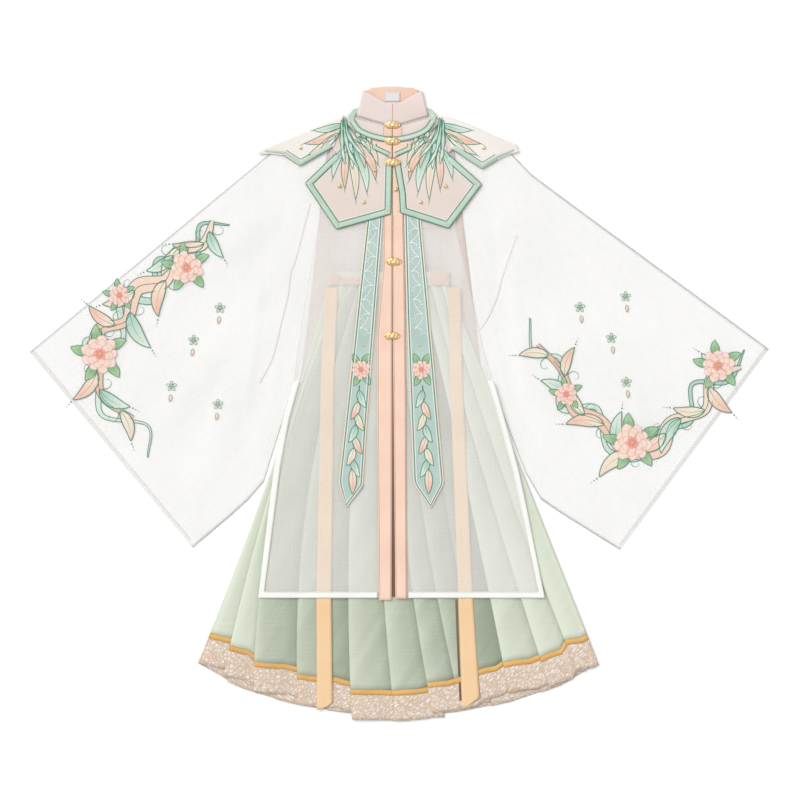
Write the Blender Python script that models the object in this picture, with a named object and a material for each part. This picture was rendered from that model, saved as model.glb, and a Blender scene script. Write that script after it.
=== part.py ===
"""A hanfu outfit laid flat and seen from above: a sheer open jacket with wide sleeves and a cloud collar over a pleated skirt.

The wearer's front faces +Z and the collar points to +Y. Left and right are the viewer's.
Tables are in millimetres from the collar's front centre. The scene is in metres.
"""

import math

import bmesh
import bpy
import numpy as np

MM = 0.001
WALL = 1.0
GAP = 0.3
SEAM_GAP = 0.4
LAYER = WALL + GAP

# Height of the underside of each layer above the layer's local ground, in millimetres
SLEEVE_FRONT = 1.6
FRONT_PANEL = 3.3
ON_PANEL = FRONT_PANEL + LAYER
LOBE = ON_PANEL + LAYER
ON_LOBE = LOBE + LAYER
YOKE_LIFT = 1.3
PIPING_WIDTH = 11.0
PIPING_HEIGHT = 3.0
NECK_RING_WIDTH = 12.0
NECK_RING_WALL = 1.0
BINDING_WIDTH = 14.0

# Skirt: levels of the pleated wall, its borders and its shape
PLEAT_STEP = 1.4
SKIRT_GROUND = 1.3
BACK_LEVEL = 0.5
BACK_DEEP_LEVEL = BACK_LEVEL + 2 * PLEAT_STEP
FRONT_LOW_LEVEL = BACK_DEEP_LEVEL + 1.4
FRONT_TOP_LEVEL = FRONT_LOW_LEVEL + 2 * PLEAT_STEP
SKIRT_TOP = SKIRT_GROUND + FRONT_TOP_LEVEL + WALL / 2
BACK_PLEATS = 8
TUCK_SHARE = 0.36
WAIST_Y = -360
MIDDLE_Y = -1066.5
BORDER_HEIGHT = 56.0
BAND_HEIGHT = 12.0
CLOTH_ROWS = (0.0, 0.07, 0.16, 0.28, 0.42, 0.56, 0.7, 0.85, 1.0)

# Heights that the skirt's bundle gives to the jacket front above it
BUNDLE = (
    # y, height
    (-1100, 7.7),
    (-460, 7.7),
    (-400, 9.8),
    (-315, 9.8),
    (-295, 8.3),
    (-275, 4.9),
    (-255, 1.5),
    (-235, 0.0),
)
LIFT_FULL_Y = -250
LIFT_END_Y = -320
LIFT_FULL_X = 330
LIFT_END_X = 400

# Each pleat's fold line, from the waist to the hem, and the hem under the face that starts there
SKIRT_FOLDS = (
    # waist_x, middle_x, hem_x, hem_y_start, hem_y_end
    (-145, -380, -437.5, -1208, -1220.5),
    (-122, -341, -380, -1235.5, -1257),
    (-98.5, -300.5, -312, -1272, -1284),
    (-75.5, -212.5, -212.5, -1300.5, -1317),
    (-52, -99, -91, -1335, -1337.5),
    (-29, -19, 5.5, -1338, -1330),
    (-5.5, 47.5, 90, -1320, -1311),
    (17.5, 102, 155, -1311, -1296),
    (41, 158.5, 201.5, -1293, -1271),
    (64, 220.5, 261.5, -1275, -1256.5),
    (86.5, 290.5, 353, -1262.5, -1226),
    (110.5, 352, 414, -1224, -1211.5),
    (127, 406, 463.5, -1211.5, -1211.5),
)

# Jacket panels: rows across the piece, from the shoulder down
JACKET_BACK = (
    # y, left, right
    (20, -91, 93.5),
    (-2, -140, 133.5),
    (-493, -196.5, 194),
    (-553.5, -206, 201.5),
    (-628, -221.5, 226),
    (-706.5, -243, 248.5),
    (-792, -269, 269),
    (-819, -274.5, 284.5),
    (-1060, -302.5, 343),
)
FRONT_LEFT = (
    # y, left, right
    (20, -95.5, -79),
    (-2, -131.5, -0.5),
    (-166.5, -158.5, -0.5),
    (-220.5, -165.5, -0.5),
    (-353, -190, -0.5),
    (-497, -212.5, -0.5),
    (-569, -221.5, -0.5),
    (-659, -246.5, -0.5),
    (-767, -266.5, -0.5),
    (-873, -280, -0.5),
    (-1062, -302.5, -2),
)
FRONT_RIGHT = (
    # y, left, right
    (20, 75.5, 92),
    (-2, 0.5, 127),
    (-166.5, 0.5, 136),
    (-234, 0.5, 143),
    (-362, 0.5, 174.5),
    (-513, 1, 208),
    (-589.5, 1.5, 233),
    (-693, 2.5, 262),
    (-767, 3.5, 282.5),
    (-837, 4, 298),
    (-1062, 6, 343),
)
PLACKET_LEFT = (
    # y, left, right
    (-2, -19, -0.5),
    (-306, -20, -0.5),
    (-472.5, -34, -0.5),
    (-616.5, -34, -0.5),
    (-1066.5, -30.5, -2),
)
PLACKET_RIGHT = (
    # y, left, right
    (-2, 0.5, 21.5),
    (-211.5, 0.5, 24.5),
    (-306, 0.5, 27),
    (-472.5, 1, 29),
    (-616.5, 2.5, 30.5),
    (-1063, 6.5, 32.5),
)
TIE_LEFT = (
    # y, left, right
    (-162, -55, -21.5),
    (-216, -58.5, -22),
    (-684, -108.5, -58.5),
    (-802, -121.5, -66),
    (-814.5, -117.5, -66.5),
    (-858, -104.5, -103),
)
TIE_RIGHT = (
    # y, left, right
    (-162, 26, 61),
    (-216, 26.5, 64),
    (-427.5, 32, 83),
    (-802, 47, 116),
    (-812, 53, 112.5),
    (-860, 85, 86.5),
)
RIBBON_LEFT = (
    # y, left, right
    (-363.5, -152, -122.5),
    (-560, -161, -130.5),
    (-1051, -171, -137.5),
    (-1299.5, -170, -135),
    (-1313, -169.5, -165.5),
)
RIBBON_RIGHT = (
    # y, left, right
    (-363.5, 125, 153),
    (-560, 128.5, 157.5),
    (-1051, 147.5, 180),
    (-1285, 156, 196),
    (-1309.5, 157, 161),
)
CLOUD_BACK = (
    # y, left, right
    (29, -95.5, 98),
    (4.5, -100, 102.5),
    (-61, -122.5, 122.5),
    (-130.5, -194.5, 199),
    (-180, -161, 163),
    (-232, -127, 127),
)

# Sleeves: each row joins the folded top edge to the seamed lower edge, from the armhole to the cuff
SLEEVE_LEFT = (
    # top_x, top_y, bottom_x, bottom_y
    ((-140.5, -2), (-197, -493)),
    ((-208, -27), (-210.5, -553.5)),
    ((-266.5, -54), (-235, -628)),
    ((-316, -95.5), (-260, -706.5)),
    ((-383.5, -151), (-289, -801)),
    ((-455.5, -210.5), (-325, -842.5)),
    ((-568, -304), (-363.5, -877.5)),
    ((-692, -406), (-406, -913.5)),
    ((-815.5, -508.5), (-449, -949.5)),
)
SLEEVE_RIGHT = (
    # top_x, top_y, bottom_x, bottom_y
    ((134, -2), (194.5, -493)),
    ((201.5, -27), (206, -544.5)),
    ((260, -54), (237.5, -621)),
    ((314, -110), (269, -702)),
    ((395, -170), (300.5, -783)),
    ((485, -236), (334, -840.5)),
    ((602, -322), (381.5, -873)),
    ((723.5, -411), (446.5, -913.5)),
    ((847, -502), (512, -954)),
)

# Soft ridges of the sleeves' upper walls
SLEEVE_CREASES = (
    # x_start, y_start, x_end, y_end, half_width, height
    ((-293.5, -200), (-635.5, -493), 60, 5.0),
    ((-264.5, -324), (-523, -684), 55, 4.0),
    ((-293.5, -459), (-422, -774), 60, 5.5),
    ((-399.5, -200), (-669.5, -459), 50, 3.0),
    ((253, -223), (590.5, -459), 60, 4.5),
    ((287, -324), (557, -661.5), 55, 5.0),
    ((275.5, -504), (422, -796.5), 60, 5.5),
    ((410.5, -256.5), (725.5, -493), 50, 3.0),
)

# Cloud collar: each row joins a lobe's outer edge to its inner edge
CLOUD_LEFT = (
    # outer point, inner point
    ((-104.5, 4.5), (-90, -16)),
    ((-127, -63), (-46, -37)),
    ((-196, -129), (-2, -79)),
    ((-161.5, -180.5), (-3, -144)),
    ((-127, -232.5), (-4.5, -198)),
)
CLOUD_RIGHT = (
    # outer point, inner point
    ((108, 4.5), (93.5, -11)),
    ((125, -64), (48.5, -37)),
    ((200, -131.5), (4.5, -79)),
    ((163, -181), (17, -153)),
    ((127, -230.5), (19, -196)),
)
SHOULDER_LEFT = (
    # top point, lower point
    ((-109, 23.5), (-130.5, -45)),
    ((-145, 11), (-156.5, -63)),
    ((-194.5, -11), (-208, -90)),
    ((-235, -29), (-244, -66.5)),
    ((-271, -45), (-275.5, -63)),
    ((-301.5, -57.5), (-301.5, -63)),
)
SHOULDER_RIGHT = (
    # top point, lower point
    ((111.5, 23.5), (130.5, -49.5)),
    ((147.5, 12.5), (158.5, -72)),
    ((192.5, -5.5), (202.5, -97)),
    ((230.5, -22.5), (237.5, -75.5)),
    ((255.5, -32.5), (260, -65)),
    ((277, -41.5), (284.5, -58)),
)
TAB_LEFT = (
    # outer point, inner point
    ((-45, -35), (-1.5, -38.5)),
    ((-45, -52), (-1.5, -73)),
)
TAB_RIGHT = (
    # outer point, inner point
    ((43, -35.5), (1.5, -38.5)),
    ((43, -54), (1.5, -73)),
)
NECK_RING = (
    # x, y, height of the underside above the floor
    ((-2, -30), 1),
    ((-18, -29.5), 1),
    ((-50.5, -21.5), 1),
    ((-76.5, -9), 1),
    ((-91, 11), 1),
    ((-95, 22.5), 0.9),
    ((-92, 36), 0),
    ((-50.5, 44), 0),
    ((0, 46), 0),
    ((50.5, 44), 0),
    ((92, 36), 0),
    ((94.5, 22.5), 0.9),
    ((90.5, 11), 1),
    ((75.5, -9), 1),
    ((50.5, -21.5), 1),
    ((17, -29.5), 1),
    ((2, -30), 1),
)

# Padded edges that lie on the lobes and tabs
EDGE_CLOUD_LEFT = ((-121.5, -66.5), (-187.5, -130), (-123.5, -225), (-10, -193.5), (-7.5, -80.5))
EDGE_CLOUD_RIGHT = ((11, -84), (22.5, -153), (24.5, -191), (124, -223), (192, -132), (124, -71.5))
EDGE_SHOULDER_LEFT = ((-137, -43), (-207, -83.5), (-242, -60.5), (-289, -56))
EDGE_SHOULDER_RIGHT = ((137, -47), (202, -90), (234, -70), (274.5, -53))
EDGE_TAB_LEFT = ((-40.5, -40.5), (-40.5, -49), (-6, -65))
EDGE_TAB_RIGHT = ((38.5, -40.5), (38.5, -51), (6, -65))

# Stand collar, flat: the front halves meet at the centre and the back stands higher
COLLAR_FRONT = (
    # x, base_y, top_y
    (0.4, -1.3, 52.5),
    (19, 3.9, 52.0),
    (42, 10.5, 63.0),
    (62, 16.3, 73.0),
    (78, 21.0, 77.0),
)
COLLAR_BACK = (
    # x, base_y, top_y
    (78, 30.0, 78.5),
    (62, 36.0, 82.0),
    (42, 38.0, 86.0),
    (19, 38.0, 88.5),
    (0, 38.0, 89.0),
)
COLLAR_TOP_NARROWING = 0.84
COLLAR_PUFF = 5.0

# Clasps: centre height on the placket, width of each half, underside level
CLASPS = (
    # name, x, y, level
    ("clasp_collar", 0, 2, ON_PANEL + LAYER + 0.2),
    ("clasp_neck", 0, -35, ON_LOBE + NECK_RING_WALL + GAP),
    ("clasp_tab", 0.5, -83, ON_LOBE + PIPING_HEIGHT + GAP),
    ("clasp_chest", 3, -306, ON_PANEL + LAYER),
    ("clasp_waist", -1, -472.5, ON_PANEL + LAYER),
)
CLASP_HALF = 19.0
CLASP_THICKNESS = 2.4


def ramp(value):
    """0 below 0, 1 above 1 and a straight line between."""
    return min(1.0, max(0.0, value))


def yoke_lift(x, y):
    """How far the back of the cloud collar, lying underneath, raises the jacket."""
    along = ramp((LIFT_END_X - abs(x)) / (LIFT_END_X - LIFT_FULL_X))
    down = ramp((y - LIFT_END_Y) / (LIFT_FULL_Y - LIFT_END_Y))
    return YOKE_LIFT * along * down


def bundle_height(y):
    """How far the skirt and its ties raise the jacket front."""
    ys, heights = zip(*BUNDLE)
    return float(np.interp(y, ys, heights))


def skirt_lift(y):
    """The skirt lies on the jacket's back, and sinks to the floor below the jacket's hem."""
    return SKIRT_GROUND * ramp((y + 1250) / 100)


def at_y(table, y, column):
    """The value of one column of a table of rows, at height y."""
    rows = sorted(table)
    return float(np.interp(y, [row[0] for row in rows], [row[column] for row in rows]))


def fold_x(fold, y):
    """A fold line is a parabola through its waist, middle and hem points."""
    a, b, c = WAIST_Y, MIDDLE_Y, fold[3]
    waist = fold[0] * (y - b) * (y - c) / ((a - b) * (a - c))
    middle = fold[1] * (y - a) * (y - c) / ((b - a) * (b - c))
    hem = fold[2] * (y - a) * (y - b) / ((c - a) * (c - b))
    return waist + middle + hem


def panel_ground(x, y):
    """The jacket front sinks beside the skirt, where nothing lies under it but the sleeve."""
    left = fold_x(SKIRT_FOLDS[0], min(y, WAIST_Y))
    right = fold_x(SKIRT_FOLDS[-1], min(y, WAIST_Y))
    outside = max(left - 30 - x, x - right - 30)
    return yoke_lift(x, y) + bundle_height(y) * (1 - ramp(outside / 40))


def crease(x, y, table):
    """Height of the soft ridges at a point."""
    total = 0.0
    for start, end, half_width, height in table:
        ax, ay = start
        bx, by = end
        length = math.hypot(bx - ax, by - ay)
        along = ((x - ax) * (bx - ax) + (y - ay) * (by - ay)) / length**2
        nearest = min(1.0, max(0.0, along))
        away = math.hypot(x - ax - nearest * (bx - ax), y - ay - nearest * (by - ay))
        if away < half_width:
            total += height * 0.5 * (1 + math.cos(math.pi * away / half_width))
    return total


def offset_ring(ring, across, closed, distance):
    """The ring moved sideways by a distance, in the plane of its across direction and Z."""
    flat = np.column_stack((ring[:, :2] @ across, ring[:, 2]))
    steps = np.diff(np.vstack((flat, flat[:1])) if closed else flat, axis=0)
    sides = np.column_stack((-steps[:, 1], steps[:, 0]))
    sides /= np.linalg.norm(sides, axis=1)[:, None]
    if closed:
        before = np.roll(sides, 1, axis=0)
        after = sides
    else:
        before = np.vstack((sides[:1], sides))
        after = np.vstack((sides, sides[-1:]))
    middle = before + after
    middle /= np.linalg.norm(middle, axis=1)[:, None]
    stretch = 1 / np.maximum(0.62, (middle * after).sum(axis=1))
    shift = middle * (stretch * distance)[:, None]
    return ring + np.column_stack((shift[:, :1] * across[None, :], shift[:, 1]))


def add_object(name, vertices, faces, colour, roughness, metallic=0.0):
    """One closed body with its own material, its faces turned outward."""
    mesh = bpy.data.meshes.new(name)
    mesh.from_pydata([tuple(np.asarray(v) * MM) for v in vertices], [], faces)
    work = bmesh.new()
    work.from_mesh(mesh)
    bmesh.ops.recalc_face_normals(work, faces=work.faces)
    if work.calc_volume(signed=True) < 0:
        bmesh.ops.reverse_faces(work, faces=work.faces)
    work.to_mesh(mesh)
    work.free()
    material = bpy.data.materials.new(name)
    material.use_nodes = True
    shader = material.node_tree.nodes["Principled BSDF"]
    shader.inputs["Base Color"].default_value = (*colour, 1.0)
    shader.inputs["Roughness"].default_value = roughness
    shader.inputs["Metallic"].default_value = metallic
    mesh.materials.append(material)
    obj = bpy.data.objects.new(name, mesh)
    bpy.context.scene.collection.objects.link(obj)
    return obj


def cloth_wall(name, rings, colour, closed=False, wall=WALL, acrosses=None, roughness=0.75):
    """A wall of cloth through the middle lines of its rings. An open ring makes a sheet, a closed one a tube."""
    count = len(rings[0])
    sides = []
    for index, ring in enumerate(rings):
        across = np.array((1.0, 0.0)) if acrosses is None else acrosses[index]
        sides.append(offset_ring(np.array(ring, float), across, closed, wall / 2))
        sides.append(offset_ring(np.array(ring, float), across, closed, -wall / 2))
    vertices = np.vstack(sides)
    faces = []
    spans = count if closed else count - 1
    for row in range(len(rings) - 1):
        for side in range(2):
            here = (2 * row + side) * count
            below = here + 2 * count
            for i in range(spans):
                j = (i + 1) % count
                faces.append((here + i, here + j, below + j, below + i))
        if not closed:
            here = 2 * row * count
            for i in (0, count - 1):
                faces.append((here + i, here + 2 * count + i, here + 3 * count + i, here + count + i))
    for here in (0, 2 * (len(rings) - 1) * count):
        for i in range(spans):
            j = (i + 1) % count
            faces.append((here + i, here + j, here + count + j, here + count + i))
    return add_object(name, vertices, faces, colour, roughness)


def levels_between(table, step):
    """Heights of a panel's rows: its table's own, the bundle's breaks and enough more for the step."""
    own = [row[0] for row in table]
    breaks = [y for y, _ in BUNDLE] + [LIFT_FULL_Y, LIFT_END_Y]
    marks = sorted({*own, *(y for y in breaks if min(own) < y < max(own))}, reverse=True)
    kept = [marks[0]]
    for mark in marks[1:]:
        parts = max(1, math.ceil((kept[-1] - mark) / step))
        start = kept[-1]
        kept += [start + (mark - start) * (i + 1) / parts for i in range(parts)]
    return kept


def panel(name, table, across, height, colour, step=45, wall=WALL, roughness=0.75):
    """A flat piece with level rows, its underside at the height given for each point."""
    rings = []
    for y in levels_between(table, step):
        left = at_y(table, y, 1)
        right = at_y(table, y, 2)
        xs = [left + (right - left) * i / across for i in range(across + 1)]
        rings.append([(x, y, height(x, y) + wall / 2) for x in xs])
    return cloth_wall(name, rings, colour, wall=wall, roughness=roughness)


def stations(table, step):
    """Pairs of points between the two edges of a piece, at its rows and between them."""
    pairs = []
    for (a, b), (c, d) in zip(table, table[1:]):
        a, b, c, d = (np.array(point, float) for point in (a, b, c, d))
        parts = max(1, round(max(np.linalg.norm(c - a), np.linalg.norm(d - b)) / step))
        pairs += [(a + (c - a) * i / parts, b + (d - b) * i / parts) for i in range(parts)]
    pairs.append(tuple(np.array(point, float) for point in table[-1]))
    return pairs


def direction(start, end):
    return (end - start) / np.linalg.norm(end - start)


def lobe(name, table, across, height, colour, step=28):
    """A flat piece whose rows join its outer edge to its inner edge."""
    rings = []
    acrosses = []
    for outer, inner in stations(table, step):
        points = [outer + (inner - outer) * i / across for i in range(across + 1)]
        rings.append([(x, y, height(x, y) + WALL / 2) for x, y in points])
        acrosses.append(direction(outer, inner))
    return cloth_wall(name, rings, colour, acrosses=acrosses)


def sleeve(name, table, across, colour):
    """A wide sleeve laid flat: a tube with its back wall on the floor and its creased front wall on that."""
    rings = []
    acrosses = []
    rows = stations(table, 38)
    for number, (top, bottom) in enumerate(rows):
        toward = direction(bottom, top)
        length = np.linalg.norm(top - bottom)
        free = ramp((number - 2) / 3)
        inset = [2.0 + (length - 4.0) * i / across for i in range(across + 1)]
        points = [bottom + toward * s for s in inset]
        back = [(x, y, yoke_lift(x, y) + WALL / 2) for x, y in points]
        front = []
        for share, (x, y) in enumerate(points):
            soft = math.sin(math.pi * share / across) ** 0.5 * free
            rise = crease(x, y, SLEEVE_CREASES) * soft
            front.append((x, y, yoke_lift(x, y) + SLEEVE_FRONT + WALL / 2 + rise))
        halfway = (SLEEVE_FRONT + WALL) / 2
        top_turn = bottom + toward * (length - 1.0)
        low_turn = bottom + toward * 1.0
        ring = back + [(*top_turn, yoke_lift(*top_turn) + halfway)]
        ring += front[::-1] + [(*low_turn, yoke_lift(*low_turn) + halfway)]
        rings.append(ring)
        acrosses.append(toward)
    return cloth_wall(name, rings, colour, closed=True, acrosses=acrosses)


def shoulder_lobe(name, table, colour):
    """A lobe folded over the shoulder line: its front lies on the jacket and its back under it."""
    rings = []
    acrosses = []
    front_z = YOKE_LIFT + LOBE + WALL / 2
    back_z = WALL / 2
    turn = (
        # inset, share of the way down
        (2.5, 0.0),
        (0.8, 0.15),
        (0.0, 0.5),
        (0.8, 0.85),
        (2.5, 1.0),
    )
    for top, lower in stations(table, 26):
        toward = direction(lower, top)
        length = np.linalg.norm(top - lower)
        small = min(1.0, length / 10)
        run = length - 2.5 * small
        ring = [(*(lower + toward * run * i / 4), front_z) for i in range(4)]
        for inset, share in turn:
            point = lower + toward * (length - inset * small)
            ring.append((*point, front_z + (back_z - front_z) * share))
        ring += [(*(lower + toward * run * i / 4), back_z) for i in (3, 2, 1, 0)]
        rings.append(ring)
        acrosses.append(toward)
    return cloth_wall(name, rings, colour, acrosses=acrosses)


def strip_sides(points, width):
    """Left and right edges of a strip along a line of points, mitred at its corners."""
    points = [np.array(point, float) for point in points]
    edges = []
    for index, point in enumerate(points):
        before = direction(points[max(index - 1, 0)], points[max(index, 1)])
        last = min(index, len(points) - 2)
        after = direction(points[last], points[last + 1])
        normal = np.array((-(before + after)[1], (before + after)[0]))
        normal /= np.linalg.norm(normal)
        reach = width / 2 / max(0.5, normal @ np.array((-after[1], after[0])))
        edges.append((point + normal * reach, point - normal * reach, normal))
    return edges


def padded_edge(name, corners, width, height, level, colour, taper=1.0):
    """A padded satin edge: a rounded roll that follows the corners of a lobe."""
    points = []
    for start, end in zip(corners, corners[1:]):
        start = np.array(start, float)
        end = np.array(end, float)
        parts = max(1, round(np.linalg.norm(end - start) / 60))
        points += [start + (end - start) * i / parts for i in range(parts)]
    points.append(np.array(corners[-1], float))
    section = (
        # share across, share of the height
        (-1.0, 0.1),
        (-0.78, 0.72),
        (-0.3, 1.0),
        (0.3, 1.0),
        (0.78, 0.72),
        (1.0, 0.1),
        (0.86, 0.0),
        (-0.86, 0.0),
    )
    vertices = []
    for index, (left, right, _) in enumerate(strip_sides(points, width)):
        middle = (left + right) / 2
        narrow = 1.0 - (1.0 - taper) * index / (len(points) - 1)
        for share, rise in section:
            x, y = middle + (left - middle) * share * narrow
            vertices.append((x, y, level + rise * height))
    count = len(section)
    faces = [tuple(range(count)), tuple(range(len(vertices) - count, len(vertices)))]
    for row in range(len(points) - 1):
        for i in range(count):
            j = (i + 1) % count
            here = row * count
            faces.append((here + i, here + j, here + count + j, here + count + i))
    return add_object(name, vertices, faces, colour, 0.45)


def edge_binding(name, table, side, colour):
    """The white binding of a front panel: up its slit and along its hem, mitred at the corner."""
    slit_top = -574
    hem = table[-1][0]
    inner = -33.5 if side == 1 else 36
    sign = 1 if side == 1 else -1
    outer_line = [y for y in levels_between(table, 45) if y < slit_top]
    rings = []
    acrosses = []
    for y in [slit_top] + outer_line[:-1] + [hem + BINDING_WIDTH]:
        x = at_y(table, y, side) + 0.8 * sign
        points = [(x + sign * BINDING_WIDTH * share, y) for share in (0, 0.5, 1)]
        rings.append(points)
        acrosses.append(np.array((float(sign), 0.0)))
    corner_x = at_y(table, hem, side) + 0.8 * sign
    diagonal = [(corner_x + sign * BINDING_WIDTH * share, hem + 0.8 + BINDING_WIDTH * share) for share in (0, 0.5, 1)]
    rings[-1] = diagonal
    acrosses[-1] = direction(np.array(diagonal[0]), np.array(diagonal[2]))
    for part in range(1, 9):
        x_low = corner_x + (inner - corner_x) * part / 8
        x_high = corner_x + sign * BINDING_WIDTH + (inner - corner_x - sign * BINDING_WIDTH) * part / 8
        low = np.array((x_low, hem + 0.8))
        high = np.array((x_high, hem + 0.8 + BINDING_WIDTH))
        rings.append([tuple(low + (high - low) * share) for share in (0, 0.5, 1)])
        acrosses.append(direction(low, high))
    solid = []
    for ring in rings:
        solid.append([(x, y, panel_ground(x, y) + ON_PANEL + WALL / 2 + 0.1) for x, y in ring])
    return cloth_wall(name, solid, colour, acrosses=acrosses)


def skirt_ring(row_y):
    """The skirt's section at one row: pleated front from left to right, then the back from right to left."""
    folds = SKIRT_FOLDS
    ring = []

    def point(index, shift, level, hem_y):
        y = row_y(hem_y)
        x = fold_x(folds[index], y) + shift(y)
        ring.append((x, y, skirt_lift(y) + level))

    def tuck(index):
        def depth(y):
            before = fold_x(folds[index], y) - fold_x(folds[index - 1], y)
            after = fold_x(folds[index + 1], y) - fold_x(folds[index], y)
            return TUCK_SHARE * min(before, after)

        return depth

    def none(y):
        return 0.0

    last = len(folds) - 2
    for index in range(last + 1):
        hem_start, hem_end = folds[index][3:]
        hem_middle = hem_start + (hem_end - hem_start) * 0.5
        if index == 0:
            point(0, none, FRONT_LOW_LEVEL, hem_start)
        else:
            depth = tuck(index)

            def rest(y, index=index, depth=depth):
                width = fold_x(folds[index + 1], y) - fold_x(folds[index], y)
                return depth(y) + (width - depth(y)) * 0.62

            point(index, none, FRONT_TOP_LEVEL, hem_start)
            point(index, lambda y, depth=depth: depth(y) + 1.2, FRONT_TOP_LEVEL, hem_start + (hem_end - hem_start) * 0.3)
            point(index, rest, FRONT_LOW_LEVEL, hem_middle)
        if index < last:
            depth = tuck(index + 1)
            point(index + 1, none, FRONT_LOW_LEVEL, hem_end)
            point(index + 1, depth, FRONT_LOW_LEVEL, hem_end)
            point(index + 1, depth, FRONT_LOW_LEVEL + PLEAT_STEP, hem_end)
            point(index + 1, none, FRONT_LOW_LEVEL + PLEAT_STEP, folds[index + 1][3])
    point(last + 1, none, FRONT_LOW_LEVEL, folds[last][4])
    for number in range(BACK_PLEATS):
        share = 1 - number / BACK_PLEATS
        following = 1 - (number + 1) / BACK_PLEATS
        steps = (
            # share along the row, level
            (share, BACK_LEVEL),
            (following + 0.03, BACK_LEVEL),
            (following + 0.012, BACK_DEEP_LEVEL),
            (following - 0.035, BACK_DEEP_LEVEL),
            (following - 0.035, BACK_DEEP_LEVEL - PLEAT_STEP),
            (following, BACK_DEEP_LEVEL - PLEAT_STEP),
        )
        if number == BACK_PLEATS - 1:
            steps = ((share, BACK_LEVEL), (0.0, BACK_LEVEL))
        for place, level in steps:
            hem_y = folds[0][3] - 118 * math.sin(math.pi * place) ** 0.8
            y = row_y(hem_y)
            left = fold_x(folds[0], y)
            right = fold_x(folds[-1], y)
            ring.append((left + (right - left) * place, y, skirt_lift(y) + level))
    return ring


def skirt_piece(name, rows, colour, roughness=0.7):
    rings = [skirt_ring(row) for row in rows]
    return cloth_wall(name, rings, colour, closed=True, roughness=roughness)


def skirt():
    """The pleated cloth, the gold band and the brocade border, each a tube through the same pleats."""
    top_of_band = BORDER_HEIGHT + BAND_HEIGHT + 2 * GAP
    cloth_rows = [lambda hem, f=f: WAIST_Y + f * (hem + top_of_band - WAIST_Y) for f in CLOTH_ROWS]
    skirt_piece("skirt_cloth", cloth_rows, (0.47, 0.55, 0.42))
    band = [lambda hem: hem + BORDER_HEIGHT + GAP + BAND_HEIGHT, lambda hem: hem + BORDER_HEIGHT + GAP]
    skirt_piece("skirt_gold_band", band, (0.76, 0.46, 0.16), 0.4)
    border = [lambda hem: hem + BORDER_HEIGHT, lambda hem: hem]
    skirt_piece("skirt_border", border, (0.75, 0.64, 0.51), 0.55)


def waistband():
    """A flat tube above the pleats."""
    rings = []
    low_left = fold_x(SKIRT_FOLDS[0], WAIST_Y)
    low_right = fold_x(SKIRT_FOLDS[-1], WAIST_Y)
    for y in (WAIST_Y + GAP, WAIST_Y + 16, WAIST_Y + 32):
        ring = []
        for share in (0.0, 0.2, 0.4, 0.6, 0.8, 1.0):
            ring.append((low_left + (low_right - low_left) * share, y, SKIRT_GROUND + FRONT_TOP_LEVEL))
        ring.append((low_right + 2.0, y, SKIRT_GROUND + 4.0))
        for share in (1.0, 0.8, 0.6, 0.4, 0.2, 0.0):
            ring.append((low_left + (low_right - low_left) * share, y, SKIRT_GROUND + BACK_LEVEL))
        ring.append((low_left - 2.0, y, SKIRT_GROUND + 4.0))
        rings.append(ring)
    return cloth_wall("skirt_waistband", rings, (0.78, 0.76, 0.7), closed=True)


def collar():
    """The stand collar lies flat: one band from the front centre round the back to the front centre."""
    front_z = YOKE_LIFT + FRONT_PANEL + WALL / 2
    back_z = YOKE_LIFT + WALL / 2
    rings = []
    rows = 6
    for row in range(rows + 1):
        v = row / rows
        narrow = 1 - (1 - COLLAR_TOP_NARROWING) * v
        ring = []
        for x, base, top in COLLAR_FRONT:
            puff = COLLAR_PUFF * math.sin(math.pi * v * 0.75) * (x / 78)
            keep = narrow if x > 1 else 1.0
            ring.append((-x * keep, base + (top - base) * v, front_z + puff))
        edge = 78 * narrow
        side_low = 27 + (77.5 - 27) * v
        ring.append((-(edge + 1.6), side_low, (front_z + back_z) / 2 + COLLAR_PUFF * math.sin(math.pi * v * 0.75) * 0.5))
        for x, base, top in COLLAR_BACK:
            ring.append((-x * narrow, base + (top - base) * v, back_z))
        mirrored = [(-x, y, z) for x, y, z in ring[:-1]]
        rings.append(ring + mirrored[::-1])
    return cloth_wall("stand_collar", rings, (0.86, 0.72, 0.66))


def collar_inside():
    """The lining at the back of the neck, and its blank label."""
    lining_z = YOKE_LIFT + LAYER
    table = ((86, -44, 44), (80, -58, 58), (62, -62, 62), (46, -62, 62))
    panel("collar_lining", table, 6, lambda x, y: lining_z, (0.88, 0.6, 0.47), step=20)
    label = ((76, -17, 17), (55, -17, 17))
    panel("neck_label", label, 2, lambda x, y: lining_z + LAYER, (0.9, 0.86, 0.82), step=25, roughness=0.6)


def neck_ring():
    """The cloud collar's neck band: open at the front centre, and under the jacket at the back."""
    high = YOKE_LIFT + ON_LOBE
    points = []
    levels = []
    for (x, y), share in NECK_RING:
        points.append((x, y))
        levels.append(high * share)
    rings = []
    acrosses = []
    for (left, right, normal), level in zip(strip_sides(points, NECK_RING_WIDTH), levels):
        wall = NECK_RING_WALL / 2
        rings.append([(*right, level + wall), (*((left + right) / 2), level + wall), (*left, level + wall)])
        acrosses.append(normal)
    return cloth_wall("neck_ring", rings, (0.55, 0.68, 0.55), acrosses=acrosses, wall=NECK_RING_WALL, roughness=0.45)


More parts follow.
